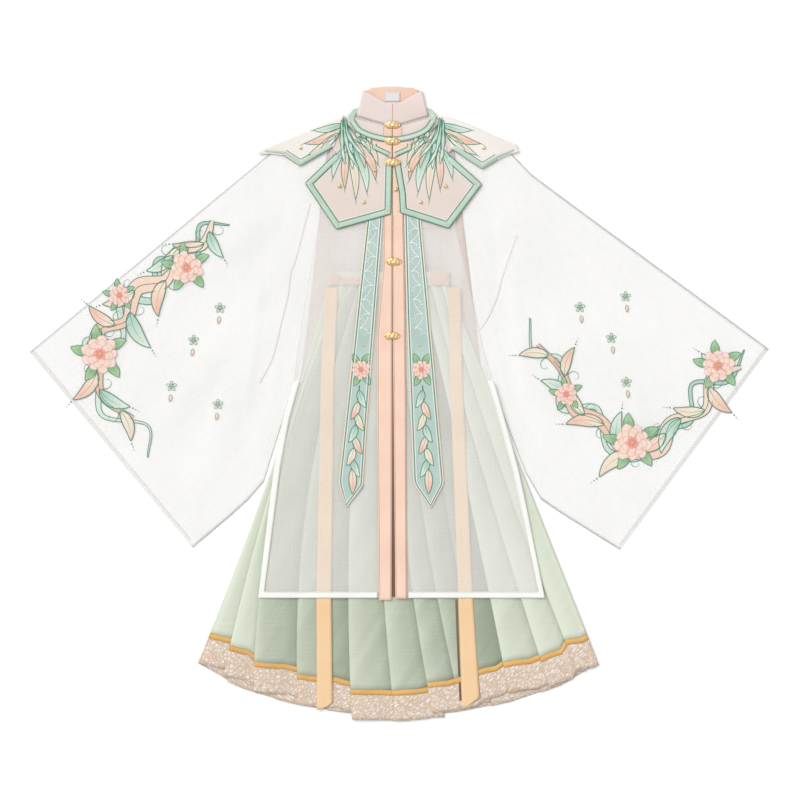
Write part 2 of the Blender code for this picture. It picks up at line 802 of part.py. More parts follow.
def flower_plate(name, x, y, level, side, colour):
    """Half a clasp: a flat lobed plate with a raised middle, cut straight where the halves meet."""
    outline = []
    for step in range(25):
        angle = math.pi * step / 24
        petal = 0.82 + 0.18 * abs(math.cos(2.5 * angle))
        reach = CLASP_HALF * math.sin(angle) * petal
        outline.append((side * (0.25 + reach), 9.5 * math.cos(angle) * (0.8 + 0.2 * abs(math.sin(3 * angle)))))
    vertices = []
    for share, z in ((0.94, 0.0), (1.0, 0.5), (0.9, CLASP_THICKNESS * 0.6), (0.45, CLASP_THICKNESS)):
        for ox, oy in outline:
            near = side * 0.25
            vertices.append((x + near + (ox - near) * share, y + oy * share, level + z))
    count = len(outline)
    faces = [tuple(range(count)), tuple(range(3 * count, 4 * count))]
    for ring in range(3):
        for i in range(count):
            j = (i + 1) % count
            here = ring * count
            faces.append((here + i, here + j, here + count + j, here + count + i))
    return add_object(name, vertices, faces, colour, 0.3, 1.0)


def rounded_lump(name, centre, size, colour, roughness, metallic=0.0, rings=5, around=14, waves=0.0):
    """A soft knot or a stone: a squashed ball with a flat base."""
    vertices = []
    for ring in range(rings):
        angle = math.pi / 2 * ring / rings
        for i in range(around):
            turn = 2 * math.pi * i / around
            reach = math.cos(angle) * (1 + waves * math.cos(3 * turn + 0.7))
            x = centre[0] + size[0] / 2 * reach * math.cos(turn)
            y = centre[1] + size[1] / 2 * reach * math.sin(turn)
            vertices.append((x, y, centre[2] + size[2] * math.sin(angle)))
    vertices.append((centre[0], centre[1], centre[2] + size[2]))
    faces = [tuple(range(around))]
    for ring in range(rings - 1):
        for i in range(around):
            j = (i + 1) % around
            here = ring * around
            faces.append((here + i, here + j, here + around + j, here + around + i))
    last = (rings - 1) * around
    for i in range(around):
        faces.append((last + i, last + (i + 1) % around, len(vertices) - 1))
    return add_object(name, vertices, faces, colour, roughness, metallic)


def on_panel(level):
    return lambda x, y: panel_ground(x, y) + level


def build():
    white = (0.82, 0.81, 0.77)
    upper = (0.74, 0.67, 0.62)
    mint = (0.52, 0.68, 0.55)
    cream = (0.8, 0.74, 0.68)
    peach = (0.9, 0.62, 0.48)
    gold = (0.83, 0.61, 0.25)
    panel("jacket_back", JACKET_BACK, 8, yoke_lift, upper, step=60)
    panel("front_left", FRONT_LEFT, 7, on_panel(FRONT_PANEL), upper)
    panel("front_right", FRONT_RIGHT, 7, on_panel(FRONT_PANEL), upper)
    sleeve("sleeve_left", SLEEVE_LEFT, 15, white)
    sleeve("sleeve_right", SLEEVE_RIGHT, 15, white)
    edge_binding("edge_binding_left", FRONT_LEFT, 1, (0.85, 0.85, 0.8))
    edge_binding("edge_binding_right", FRONT_RIGHT, 2, (0.85, 0.85, 0.8))
    panel("placket_left", PLACKET_LEFT, 2, on_panel(ON_PANEL), peach)
    panel("placket_right", PLACKET_RIGHT, 2, on_panel(ON_PANEL), peach)
    panel("tie_left", TIE_LEFT, 2, on_panel(ON_PANEL), (0.42, 0.56, 0.54))
    panel("tie_right", TIE_RIGHT, 2, on_panel(ON_PANEL), (0.42, 0.56, 0.54))
    collar()
    collar_inside()
    panel("cloud_back", CLOUD_BACK, 6, lambda x, y: 0.0, cream, step=60)
    lobe("cloud_front_left", CLOUD_LEFT, 5, on_panel(LOBE), cream)
    lobe("cloud_front_right", CLOUD_RIGHT, 5, on_panel(LOBE), cream)
    shoulder_lobe("cloud_shoulder_left", SHOULDER_LEFT, cream)
    shoulder_lobe("cloud_shoulder_right", SHOULDER_RIGHT, cream)
    lobe("cloud_tab_left", TAB_LEFT, 2, on_panel(ON_LOBE), cream)
    lobe("cloud_tab_right", TAB_RIGHT, 2, on_panel(ON_LOBE), cream)
    neck_ring()
    on_lobe = YOKE_LIFT + ON_LOBE
    padded_edge("piping_front_left", EDGE_CLOUD_LEFT, PIPING_WIDTH, PIPING_HEIGHT, on_lobe, mint)
    padded_edge("piping_front_right", EDGE_CLOUD_RIGHT, PIPING_WIDTH, PIPING_HEIGHT, on_lobe, mint)
    padded_edge("piping_shoulder_left", EDGE_SHOULDER_LEFT, 10, PIPING_HEIGHT, on_lobe, mint, 0.3)
    padded_edge("piping_shoulder_right", EDGE_SHOULDER_RIGHT, 10, PIPING_HEIGHT, on_lobe, mint, 0.3)
    padded_edge("piping_tab_left", EDGE_TAB_LEFT, 7, 2, on_lobe + LAYER, mint)
    padded_edge("piping_tab_right", EDGE_TAB_RIGHT, 7, 2, on_lobe + LAYER, mint)
    skirt()
    waistband()
    sash = ((-342.5, -115, 79), (-357, -115, 79))
    sash_z = SKIRT_TOP + GAP
    panel("sash", sash, 6, lambda x, y: sash_z, (0.86, 0.6, 0.5), step=15)
    rounded_lump("knot_left", (-130.5, -344, sash_z), (28, 30, 3.0), (0.86, 0.58, 0.46), 0.7, waves=0.08)
    rounded_lump("knot_right", (103.5, -341, sash_z), (42, 38, 3.0), (0.86, 0.58, 0.46), 0.7, waves=0.1)
    ribbon_z = lambda x, y: skirt_lift(y) + FRONT_TOP_LEVEL + WALL / 2 + GAP + 0.1
    panel("ribbon_left", RIBBON_LEFT, 2, ribbon_z, (0.88, 0.6, 0.38), step=90)
    panel("ribbon_right", RIBBON_RIGHT, 2, ribbon_z, (0.88, 0.6, 0.38), step=90)
    for name, x, y, level in CLASPS:
        z = max(panel_ground(x, y - 10), panel_ground(x, y + 10)) + level
        flower_plate(name + "_left", x, y, z, -1, gold)
        flower_plate(name + "_right", x, y, z, 1, gold)
    stone_z = panel_ground(6, -144) + ON_PANEL + LAYER
    rounded_lump("clasp_stone", (7.5, -144, stone_z), (9.5, 9.5, 2.6), gold, 0.3, 1.0)


def centre_on_footprint():
    """Moves the whole garment so that the middle of its footprint is the origin."""
    points = np.array([tuple(v.co) for obj in bpy.data.objects for v in obj.data.vertices])
    middle = (points.min(axis=0) + points.max(axis=0)) / 2
    shift = (middle[0], middle[1], points[:, 2].min())
    for obj in bpy.data.objects:
        for vertex in obj.data.vertices:
            vertex.co = (vertex.co[0] - shift[0], vertex.co[1] - shift[1], vertex.co[2] - shift[2])


for old in list(bpy.data.objects):
    bpy.data.objects.remove(old, do_unlink=True)
build()
centre_on_footprint()
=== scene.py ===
# %% [markdown]
# # A hanfu outfit laid flat
# A sheer open jacket with wide sleeves and a cloud collar lies over a pleated skirt, seen from straight
# above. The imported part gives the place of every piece. Each cloth gets a fine shell here, with its
# folds, weave and needlework, and each shell stays on the form of its solid.

# %% Load the frame
import math

import bmesh
import bpy
import numpy as np
from mathutils import Matrix, Vector
from mathutils.bvhtree import BVHTree


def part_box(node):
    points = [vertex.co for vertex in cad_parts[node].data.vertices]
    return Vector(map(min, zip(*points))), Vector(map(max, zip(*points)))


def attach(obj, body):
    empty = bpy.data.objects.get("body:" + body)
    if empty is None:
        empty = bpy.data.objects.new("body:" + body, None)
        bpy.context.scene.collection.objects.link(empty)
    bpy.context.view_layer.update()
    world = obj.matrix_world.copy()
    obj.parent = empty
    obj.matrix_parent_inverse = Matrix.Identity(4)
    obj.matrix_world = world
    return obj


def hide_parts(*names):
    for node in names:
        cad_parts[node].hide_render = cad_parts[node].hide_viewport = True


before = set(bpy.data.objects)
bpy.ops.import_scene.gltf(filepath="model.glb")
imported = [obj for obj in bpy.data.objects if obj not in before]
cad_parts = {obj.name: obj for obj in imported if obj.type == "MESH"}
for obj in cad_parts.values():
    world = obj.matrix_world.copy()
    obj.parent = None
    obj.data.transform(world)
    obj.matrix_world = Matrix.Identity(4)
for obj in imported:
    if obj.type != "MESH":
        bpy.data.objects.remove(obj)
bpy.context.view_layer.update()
label_low, label_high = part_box("neck_label")
ORIGIN = ((label_low[0] + label_high[0]) / 2, (label_low[1] + label_high[1]) / 2 - 0.0655)
print("nodes:", len(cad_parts), "collar front centre:", ORIGIN)

# %% [markdown]
# ## Measures
# Tables are in millimetres from the front centre of the collar's base seam, as a pattern cutter would
# note them, and `lay` turns such a point into metres in the part's frame. Layers keep a small step
# between them, so no cloth passes through the one below.


# %% Place a point
def lay(x, y, z):
    return Vector((ORIGIN[0] + x / 1000, ORIGIN[1] + y / 1000, z / 1000))


WALL, STEP = 1.0, 1.3
SLEEVE_FRONT, FRONT_PANEL = 1.6, 3.3
ON_PANEL = FRONT_PANEL + STEP
LOBE = ON_PANEL + STEP
ON_LOBE = LOBE + STEP
BUNDLE_Y = (-1100, -460, -400, -315, -295, -275, -255, -235)
BUNDLE_Z = (7.7, 7.7, 9.8, 9.8, 8.3, 4.9, 1.5, 0.0)
SKIRT_TOP = 9.3

# waist_x, middle_x, hem_x, hem_y at the start and at the end of the face
SKIRT_FOLDS = (
    (-145, -380, -437.5, -1208, -1220.5),
    (-122, -341, -380, -1235.5, -1257),
    (-98.5, -300.5, -312, -1272, -1284),
    (-75.5, -212.5, -212.5, -1300.5, -1317),
    (-52, -99, -91, -1335, -1337.5),
    (-29, -19, 5.5, -1338, -1330),
    (-5.5, 47.5, 90, -1320, -1311),
    (17.5, 102, 155, -1311, -1296),
    (41, 158.5, 201.5, -1293, -1271),
    (64, 220.5, 261.5, -1275, -1256.5),
    (86.5, 290.5, 353, -1262.5, -1226),
    (110.5, 352, 414, -1224, -1211.5),
    (127, 406, 463.5, -1211.5, -1211.5),
)
WAIST_Y, MIDDLE_Y = -360, -1066.5


# %% The ground under each layer
def ramp(value):
    return min(1.0, max(0.0, value))


def yoke_lift(x, y):
    return 1.3 * ramp((400 - abs(x)) / 70) * ramp((y + 320) / 70)


def bundle_height(y):
    return float(np.interp(y, BUNDLE_Y, BUNDLE_Z))


def skirt_lift(y):
    return 1.3 * ramp((y + 1250) / 100)


def fold_x(fold, y):
    a, b, c = WAIST_Y, MIDDLE_Y, fold[3]
    waist = fold[0] * (y - b) * (y - c) / ((a - b) * (a - c))
    middle = fold[1] * (y - a) * (y - c) / ((b - a) * (b - c))
    hem = fold[2] * (y - a) * (y - b) / ((c - a) * (c - b))
    return waist + middle + hem


def panel_ground(x, y):
    left = fold_x(SKIRT_FOLDS[0], min(y, WAIST_Y))
    right = fold_x(SKIRT_FOLDS[-1], min(y, WAIST_Y))
    outside = max(left - 30 - x, x - right - 30)
    return yoke_lift(x, y) + bundle_height(y) * (1 - ramp(outside / 40))


print("panel ground over the waist:", round(panel_ground(0, -350), 2))

# %% [markdown]
# ## Soft creases
# Gauze that is pulled straight on a table keeps a few long shallow ridges. Each row of a crease table is
# one ridge: where it starts and ends, its half width and its height. No two have the same length or
# spacing.


# %% Ridges
def crease(x, y, table):
    total = 0.0
    for ax, ay, bx, by, half_width, height in table:
        length = math.hypot(bx - ax, by - ay)
        along = ((x - ax) * (bx - ax) + (y - ay) * (by - ay)) / length**2
        nearest = ramp(along)
        away = math.hypot(x - ax - nearest * (bx - ax), y - ay - nearest * (by - ay))
        if away < half_width:
            total += height * 0.5 * (1 + math.cos(math.pi * away / half_width))
    return total


# start x, start y, end x, end y, half width, height
SLEEVE_CREASES = (
    (-293.5, -200, -635.5, -493, 60, 4.5),
    (-264.5, -324, -523, -684, 55, 3.6),
    (-293.5, -459, -422, -774, 60, 5.0),
    (-399.5, -200, -669.5, -459, 50, 2.6),
    (-300, -380, -330, -640, 22, 1.6),
    (-455, -330, -560, -560, 26, 1.2),
    (253, -223, 590.5, -459, 60, 4.0),
    (287, -324, 557, -661.5, 55, 4.6),
    (275.5, -504, 422, -796.5, 60, 5.0),
    (410.5, -256.5, 725.5, -493, 50, 2.6),
    (262, -300, 300, -600, 24, 1.6),
    (470, -420, 560, -640, 28, 1.3),
)
PANEL_CREASES = (
    (-150, -250, -175, -640, 26, 0.9),
    (-132, -520, -205, -1000, 20, 0.7),
    (-70, -860, -110, -1050, 16, 0.5),
    (150, -260, 190, -700, 26, 1.0),
    (120, -480, 215, -1000, 22, 0.8),
    (80, -820, 120, -1050, 16, 0.5),
    (-120, -90, -140, -230, 22, 0.6),
    (118, -95, 140, -230, 22, 0.6),
)


def panel_height(x, y):
    return panel_ground(x, y) + crease(x, y, PANEL_CREASES)


print("ridges:", len(SLEEVE_CREASES), "on the sleeves,", len(PANEL_CREASES), "on the fronts")

# %% [markdown]
# ## A small language for finishes
# Shader maths reads best as plain sums. `Wire` wraps one output of a node, so that `1 - mask` or `a * b`
# adds the Math nodes by itself. `Finish` holds a Principled shader and one method that adds any other
# node.


# %% Wires and finishes
def plug(tree, socket, value):
    if isinstance(value, Wire):
        tree.links.new(value.socket, socket)
    elif isinstance(value, (tuple, list)) and len(value) == 3 and socket.type == "RGBA":
        socket.default_value = (*value, 1.0)
    else:
        socket.default_value = value


class Wire:
    def __init__(self, tree, socket):
        self.tree = tree
        self.socket = socket

    def maths(self, operation, other, turned=False):
        node = self.tree.nodes.new("ShaderNodeMath")
        node.operation = operation
        pair = (other, self) if turned else (self, other)
        for socket, value in zip(node.inputs, pair):
            plug(self.tree, socket, value)
        return Wire(self.tree, node.outputs[0])

    def __add__(self, other):
        return self.maths("ADD", other)

    def __radd__(self, other):
        return self.maths("ADD", other)

    def __sub__(self, other):
        return self.maths("SUBTRACT", other)

    def __rsub__(self, other):
        return self.maths("SUBTRACT", other, True)

    def __mul__(self, other):
        return self.maths("MULTIPLY", other)

    def __rmul__(self, other):
        return self.maths("MULTIPLY", other)


class Finish:
    def __init__(self, name, roughness=0.7, metallic=0.0, sheen=0.0, coat=0.0):
        self.material = bpy.data.materials.new(name)
        self.material.use_nodes = True
        self.tree = self.material.node_tree
        self.shader = self.tree.nodes["Principled BSDF"]
        self.shader.inputs["Roughness"].default_value = roughness
        self.shader.inputs["Metallic"].default_value = metallic
        self.shader.inputs["Sheen Weight"].default_value = sheen
        self.shader.inputs["Coat Weight"].default_value = coat
        self.shader.inputs["Specular IOR Level"].default_value = 0.3

    def node(self, kind, settings=(), values=(), output=0):
        node = self.tree.nodes.new(kind)
        for name, value in dict(settings).items():
            setattr(node, name, value)
        for name, value in dict(values).items():
            plug(self.tree, node.inputs[name], value)
        return Wire(self.tree, node.outputs[output])

    def coordinates(self, name="UV", scale=(1, 1, 1), turn=0.0):
        place = self.node("ShaderNodeTexCoord", output=name)
        values = {"Vector": place, "Scale": scale, "Rotation": (0, 0, turn)}
        return self.node("ShaderNodeMapping", {}, values)

    def noise(self, vector, scale, detail=2.0):
        return self.node("ShaderNodeTexNoise", {}, {"Vector": vector, "Scale": scale, "Detail": detail})

    def steps(self, value, low, high):
        settings = {"clamp": True, "interpolation_type": "SMOOTHSTEP"}
        values = {"Value": value, "From Min": low, "From Max": high}
        return self.node("ShaderNodeMapRange", settings, values)

    def mark(self, name):
        return self.node("ShaderNodeAttribute", {"attribute_name": name}, output="Fac")

    def mix(self, share, first, second):
        node = self.tree.nodes.new("ShaderNodeMix")
        node.data_type = "RGBA"
        for index, value in ((0, share), (6, first), (7, second)):
            plug(self.tree, node.inputs[index], value)
        return Wire(self.tree, node.outputs[2])

    def feed(self, **sockets):
        for name, value in sockets.items():
            plug(self.tree, self.shader.inputs[name.replace("_", " ")], value)

    def relief(self, height, distance, strength=1.0):
        values = {"Height": height, "Distance": distance, "Strength": strength}
        self.feed(Normal=self.node("ShaderNodeBump", {}, values))


LIGHT = 1.08


def dye(red, green, blue):
    """A colour as it is seen on the cloth, from 0 to 255, turned into a dye under this scene's light."""
    seen = []
    for value in (red, green, blue):
        share = value / 255
        linear = share / 12.92 if share <= 0.04045 else ((share + 0.055) / 1.055) ** 2.4
        seen.append(min(0.96, linear / LIGHT))
    return tuple(seen)


print("warm white dye:", [round(v, 3) for v in dye(244, 243, 241)])

# %% [markdown]
# ## Gauze and crepe
# Sheer gauze lets about half the light past: each of a shell's two faces hides from a third to a half,
# and its threads show as fine streaks along the warp. The skirt's crepe is close-woven, with cross slubs,
# and each pleat has its own tone, as the cloth is doubled in some pleats and single in others, with
# painted shade: pale where it stands in the light and deep where it tucks under. Both read the cloth's
# own UV map, which is in metres across and along the cloth.


# %% Gauze and crepe
def gauze(name, colour, tint, cover, streak=0.05):
    finish = Finish(name, roughness=0.85, sheen=0.1)
    cloth_map = finish.coordinates("UV")
    warp = finish.noise(finish.coordinates("UV", (420, 9, 1)), 1.0, 3.0)
    slub = finish.noise(finish.coordinates("UV", (10, 460, 1)), 1.0, 2.0)
    cloud = finish.noise(cloth_map, 5.0, 2.0)
    broad = finish.noise(finish.coordinates("UV", (16, 1.4, 1)), 1.0, 1.0)
    finish.feed(Base_Color=finish.mix(finish.steps(cloud, 0.35, 0.7), colour, tint))
    threads = warp * 0.6 + slub * 0.4
    finish.feed(Alpha=cover + (threads - 0.5) * streak * 5 + (broad - 0.5) * streak * 4)
    weave = finish.node("ShaderNodeTexWave", {"bands_direction": "X"}, {"Vector": cloth_map, "Scale": 190.0})
    weft = finish.node("ShaderNodeTexWave", {"bands_direction": "Y"}, {"Vector": cloth_map, "Scale": 190.0})
    finish.relief(threads * 2.0 + weave * 0.3 + weft * 0.3, 0.0004, 0.4)
    return finish.material


def crepe(name, pale, deep):
    finish = Finish(name, roughness=0.8, sheen=0.1)
    warp = finish.noise(finish.coordinates("UV", (300, 5, 1)), 1.0, 3.0)
    slub = finish.noise(finish.coordinates("UV", (12, 420, 1)), 1.0, 3.0)
    threads = warp * 0.4 + slub * 0.6
    broad = finish.noise(finish.coordinates("UV", (26, 2, 1)), 1.0, 2.0)
    # The mark read here gives each pleat its tone, from cloth doubled in some pleats and single in others,
    # together with painted shade: darker for faces in shadow and in the tucks. Thread and broad noise add
    # random streaks.
    layering_and_shade = finish.mark("layering_and_shade") + (threads - 0.5) * 0.35 + (broad - 0.5) * 0.3
    finish.feed(Base_Color=finish.mix(finish.steps(layering_and_shade, 0.0, 1.0), pale, deep))
    finish.relief(threads, 0.0006, 0.6)
    return finish.material


GAUZE_WHITE = gauze("white gauze", dye(245, 244, 242), dye(240, 239, 236), 0.42, 0.03)
GAUZE_FRONT = gauze("front gauze", dye(232, 230, 227), dye(227, 224, 221), 0.35, 0.035)
# The back gauze is darker and pinker than the sleeve gauze: a warm tint of the body cloth together with
# painted shade of the doubled body layers.
GAUZE_BACK = gauze("back gauze", dye(206, 188, 178), dye(198, 178, 168), 0.5)
GAUZE_COLLAR = gauze("collar gauze", dye(249, 233, 228), dye(243, 224, 218), 0.86, 0.01)
CREAM = gauze("cloud collar gauze", dye(244, 231, 223), dye(237, 219, 208), 0.9, 0.01)
# The shoulder lobes are the cloud collar's cream gauze painted lighter: painted light where the shoulders
# catch the most light.
LIT_CREAM = gauze("cream gauze painted lighter for the shoulders", dye(253, 249, 243), dye(248, 238, 228), 0.9, 0.01)
# Between the pale and the deep green lie the tones of doubled and single cloth and the painted shade of
# shadowed faces and tucks.
SKIRT = crepe("green skirt crepe", dye(222, 229, 210), dye(150, 160, 138))
print("sheer and crepe finishes:", len(bpy.data.materials))

# %% [markdown]
# ## Satin and brocade
# Satin has a tight smooth face with a slow shimmer along its ribs. The brocade border carries a raised
# pale figure on a dull ground: rings of small petals round scattered centres, and a few of them gilt.


# %% Satin and brocade
def satin(name, colour, deep, roughness=0.42, threads=420.0):
    finish = Finish(name, roughness=roughness, sheen=0.1, coat=0.05)
    cloth_map = finish.coordinates("UV")
    slow = finish.noise(cloth_map, 14.0, 2.0)
    fine = finish.noise(finish.coordinates("UV", (500, 22, 1)), 1.0, 2.0)
    finish.feed(Base_Color=finish.mix(finish.steps(slow * 0.6 + fine * 0.4, 0.35, 0.7), colour, deep))
    twill = {"bands_direction": "DIAGONAL"}
    rib = finish.node("ShaderNodeTexWave", twill, {"Vector": cloth_map, "Scale": threads})
    finish.relief(fine + rib * 0.4, 0.0003, 0.5)
    return finish.material


def brocade(name, ground, figure, thread):
    finish = Finish(name, roughness=0.55, sheen=0.1)
    cloth_map = finish.coordinates("UV")
    sway = finish.noise(cloth_map, 60.0, 2.0)
    values = {0: sway, 1: (0.005, 0.005, 0), 2: cloth_map}
    bent = finish.node("ShaderNodeVectorMath", {"operation": "MULTIPLY_ADD"}, values)
    centres = finish.node("ShaderNodeTexVoronoi", {"feature": "F1"}, {"Vector": bent, "Scale": 30.0})
    rings = finish.node("ShaderNodeMath", {"operation": "SINE"}, {0: centres * 26.0})
    edges = {"feature": "DISTANCE_TO_EDGE"}
    cells = finish.node("ShaderNodeTexVoronoi", edges, {"Vector": bent, "Scale": 120.0})
    petals = finish.steps(cells, 0.07, 0.16)
    raised = petals * (0.45 + finish.steps(rings, -0.2, 0.4) * 0.55)
    coloured = finish.mix(raised * 0.9, ground, figure)
    gilt = finish.steps(finish.noise(cloth_map, 70.0, 1.0), 0.5, 0.7) * petals
    finish.feed(Base_Color=finish.mix(gilt * 0.5, coloured, thread))
    finish.relief(raised, 0.0005, 0.6)
    return finish.material


BINDING = satin("white binding", dye(252, 252, 248), dye(244, 245, 239), 0.6)
PEACH = satin("peach placket", dye(250, 216, 195), dye(244, 206, 185), 0.65)
LINING = satin("collar lining", dye(246, 210, 188), dye(240, 200, 176), 0.6)
LABEL = satin("blank label", dye(232, 230, 232), dye(224, 222, 226), 0.5)
RIBBON = satin("peach ribbon", dye(246, 210, 165), dye(240, 202, 156), 0.55)
SASH = satin("sash silk", dye(236, 196, 170), dye(222, 180, 154), 0.55)
TEAL = satin("teal tie silk", dye(190, 210, 202), dye(172, 198, 190), 0.55)
MINT = satin("mint satin", dye(198, 220, 202), dye(178, 206, 184), 0.4)
WAIST = satin("waistband cotton", dye(228, 228, 216), dye(214, 214, 202), 0.8)
GOLD_BAND = satin("gold band", dye(232, 184, 110), dye(218, 166, 92), 0.45)
BROCADE = brocade("border brocade", dye(210, 188, 168), dye(248, 236, 224), dye(226, 200, 158))
print("all cloth finishes:", len(bpy.data.materials))

# %% [markdown]
# ## Threads and metal
# Satin stitch is laid side by side across a shape, so a filled leaf shines in fine slanting rows. Its
# colour runs from the root of the leaf to its tip, as an embroiderer blends two skeins. Cast clasps are
# bright on their high points and brown in the hollows.


# %% Threads and metal
def thread(name, root, tip, roughness=0.5):
    finish = Finish(name, roughness=roughness, sheen=0.15)
    here = finish.coordinates("UV", (1, 1, 1), 0.6)
    rows = finish.node("ShaderNodeTexWave", {}, {"Vector": here, "Scale": 260.0, "Distortion": 1.5})
    slow = finish.noise(here, 90.0, 2.0)
    blend = finish.steps(finish.mark("along") + (slow - 0.5) * 0.5, 0.1, 0.9)
    finish.feed(Base_Color=finish.mix(blend, root, tip))
    finish.relief(rows, 0.0003, 0.6)
    return finish.material


def metal(name, colour, deep):
    finish = Finish(name, roughness=0.28, metallic=1.0)
    here = finish.coordinates("Object")
    wear = finish.noise(here, 420.0, 3.0)
    finish.feed(Base_Color=finish.mix(finish.steps(wear, 0.35, 0.7), colour, deep))
    finish.feed(Roughness=0.2 + wear * 0.25)
    finish.relief(wear, 0.0003, 0.4)
    return finish.material


GREEN = thread("deep green thread", dye(72, 134, 114), dye(96, 152, 132))
MINT_FILL = thread("mint thread", dye(184, 214, 196), dye(226, 238, 224))
CREAM_FILL = thread("cream thread", dye(243, 236, 214), dye(246, 222, 202))
PEACH_FILL = thread("peach thread", dye(250, 226, 208), dye(246, 196, 176))
PINK_FILL = thread("pink thread", dye(246, 196, 184), dye(252, 226, 216))
ROSE = thread("rose thread", dye(232, 146, 134), dye(243, 178, 166))
LEAF_FILL = thread("leaf green thread", dye(132, 178, 134), dye(176, 208, 160))
GOLD_THREAD = thread("gold thread", dye(214, 176, 104), dye(232, 200, 136), 0.4)
WHITE_THREAD = thread("white thread", dye(246, 246, 242), dye(240, 242, 238))
SEAM = thread("seam thread", dye(222, 217, 211), dye(216, 211, 205), 0.7)
# Seam-shadow thread: seams drawn darker than the cloth, with painted shade along them.
SHADE = thread("seam shadow", dye(196, 150, 128), dye(180, 134, 112), 0.8)
# Painted shadow: a dark thread laid where the fronts and the skirt open, standing for the shade in the gaps.
OPENING_SHADOW = thread("painted opening shadow", dye(142, 112, 92), dye(120, 92, 76), 0.9)
THREADS = (
    GREEN, MINT_FILL, CREAM_FILL, PEACH_FILL, PINK_FILL, ROSE,
    LEAF_FILL, GOLD_THREAD, WHITE_THREAD, SEAM, SHADE, OPENING_SHADOW,
)
GOLD = metal("clasp gold", (0.9, 0.64, 0.3), (0.66, 0.4, 0.15))
BRIGHT = metal("bright gold", (0.98, 0.82, 0.5), (0.85, 0.62, 0.3))


def pearl():
    finish = Finish("pearl", roughness=0.18, coat=0.6)
    bloom = finish.noise(finish.coordinates("Object"), 300.0, 2.0)
    finish.feed(Base_Color=finish.mix(finish.steps(bloom, 0.3, 0.7), (0.93, 0.91, 0.88), (0.9, 0.84, 0.8)))
    return finish.material


PEARL = pearl()
print("threads:", len(THREADS))

# %% [markdown]
# ## Cloth from a flat grid
# Every cloth starts as a grid, as cloth starts flat on the cutting table. A rule then says where each
# point of the grid lies, and Solidify gives the sheet its thickness. A tube is the same grid with its two
# long edges sewn. The UV map keeps the cut in metres, so the flat size of each piece is read from it.
# Lower layers of a sheer garment are lit through the gauze, so gauze is left out of the shadows.


# %% Sheets
def dress(obj, finish, node, added=False):
    """Gives the piece its finish. It stands for its node, whose part is hidden, or is added beside it."""
    obj.data.materials.append(finish)
    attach(obj, "root")
    if not added:
        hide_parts(node)


def cloth(
    name, across, down, rule, finish, node,
    thickness=0.7, sewn=False, held="laid", rests=(), sheer=False, added=False,
):
    work = bmesh.new()
    work.loops.layers.uv.new("UVMap")
    bmesh.ops.create_grid(work, x_segments=across, y_segments=down, size=0.5, calc_uvs=True)
    layer = work.loops.layers.uv.active
    # A rule may give a third value, the skirt's tone with its painted shade, kept on each point for the
    # finish.
    layering_and_shade_layer = work.verts.layers.float.new("layering_and_shade")
    marks = {}
    for vertex in work.verts:
        found = rule(vertex.co.x + 0.5, vertex.co.y + 0.5)
        vertex.co = found[0]
        marks[vertex] = found[1]
        vertex[layering_and_shade_layer] = found[2] if len(found) > 2 else 0.0
    for face in work.faces:
        for loop in face.loops:
            loop[layer].uv = marks[loop.vert]
    area = sum(face.calc_area() for face in work.faces)
    spans = []
    for k in (0, 1):
        reach = [mark[k] for mark in marks.values()]
        spans.append(max(reach) - min(reach))
    if sewn:
        bmesh.ops.remove_doubles(work, verts=work.verts, dist=1e-6)
        bmesh.ops.recalc_face_normals(work, faces=work.faces)
    elif sum(face.normal.z * face.calc_area() for face in work.faces) < 0:
        bmesh.ops.reverse_faces(work, faces=work.faces)
    obj = placed(name, work)
    wall = obj.modifiers.new("thickness", "SOLIDIFY")
    wall.thickness = thickness / 1000
    wall.offset = 0
    dress(obj, finish, node, added)
    obj.visible_shadow = obj.visible_diffuse = not sheer
    min(area, spans[0] * spans[1])
    return obj


def placed(name, work):
    mesh = bpy.data.meshes.new(name)
    work.to_mesh(mesh)
    work.free()
    mesh.shade_smooth()
    obj = bpy.data.objects.new(name, mesh)
    bpy.context.scene.collection.objects.link(obj)
    return obj


def at_y(table, y, column):
    rows = sorted(table)
    return float(np.interp(y, [row[0] for row in rows], [row[column] for row in rows]))


def panel(node, table, across, down, height, finish, thickness=0.7, rests=(), sheer=False, held="laid"):
    top, low = table[0][0], table[-1][0]

    def rule(u, v):
        y = low + (top - low) * v
        left, right = at_y(table, y, 1), at_y(table, y, 2)
        x = left + (right - left) * u
        return lay(x, y, height(x, y) + WALL / 2), ((u - 0.5) * (right - left) / 1000, y / 1000)

    settings = {"rests": rests, "sheer": sheer, "held": held}
    return cloth(node + "_cloth", across, down, rule, finish, node, thickness, **settings)


def over_panel(level):
    return lambda x, y: panel_height(x, y) + level


print("cloth rules ready")

# %% [markdown]
# ## The jacket's body
# The back is one panel from shoulder to hem. The two fronts meet at the centre and hang free below the
# side slits. They are so sheer that the skirt, its ribbons and the sash show through them.

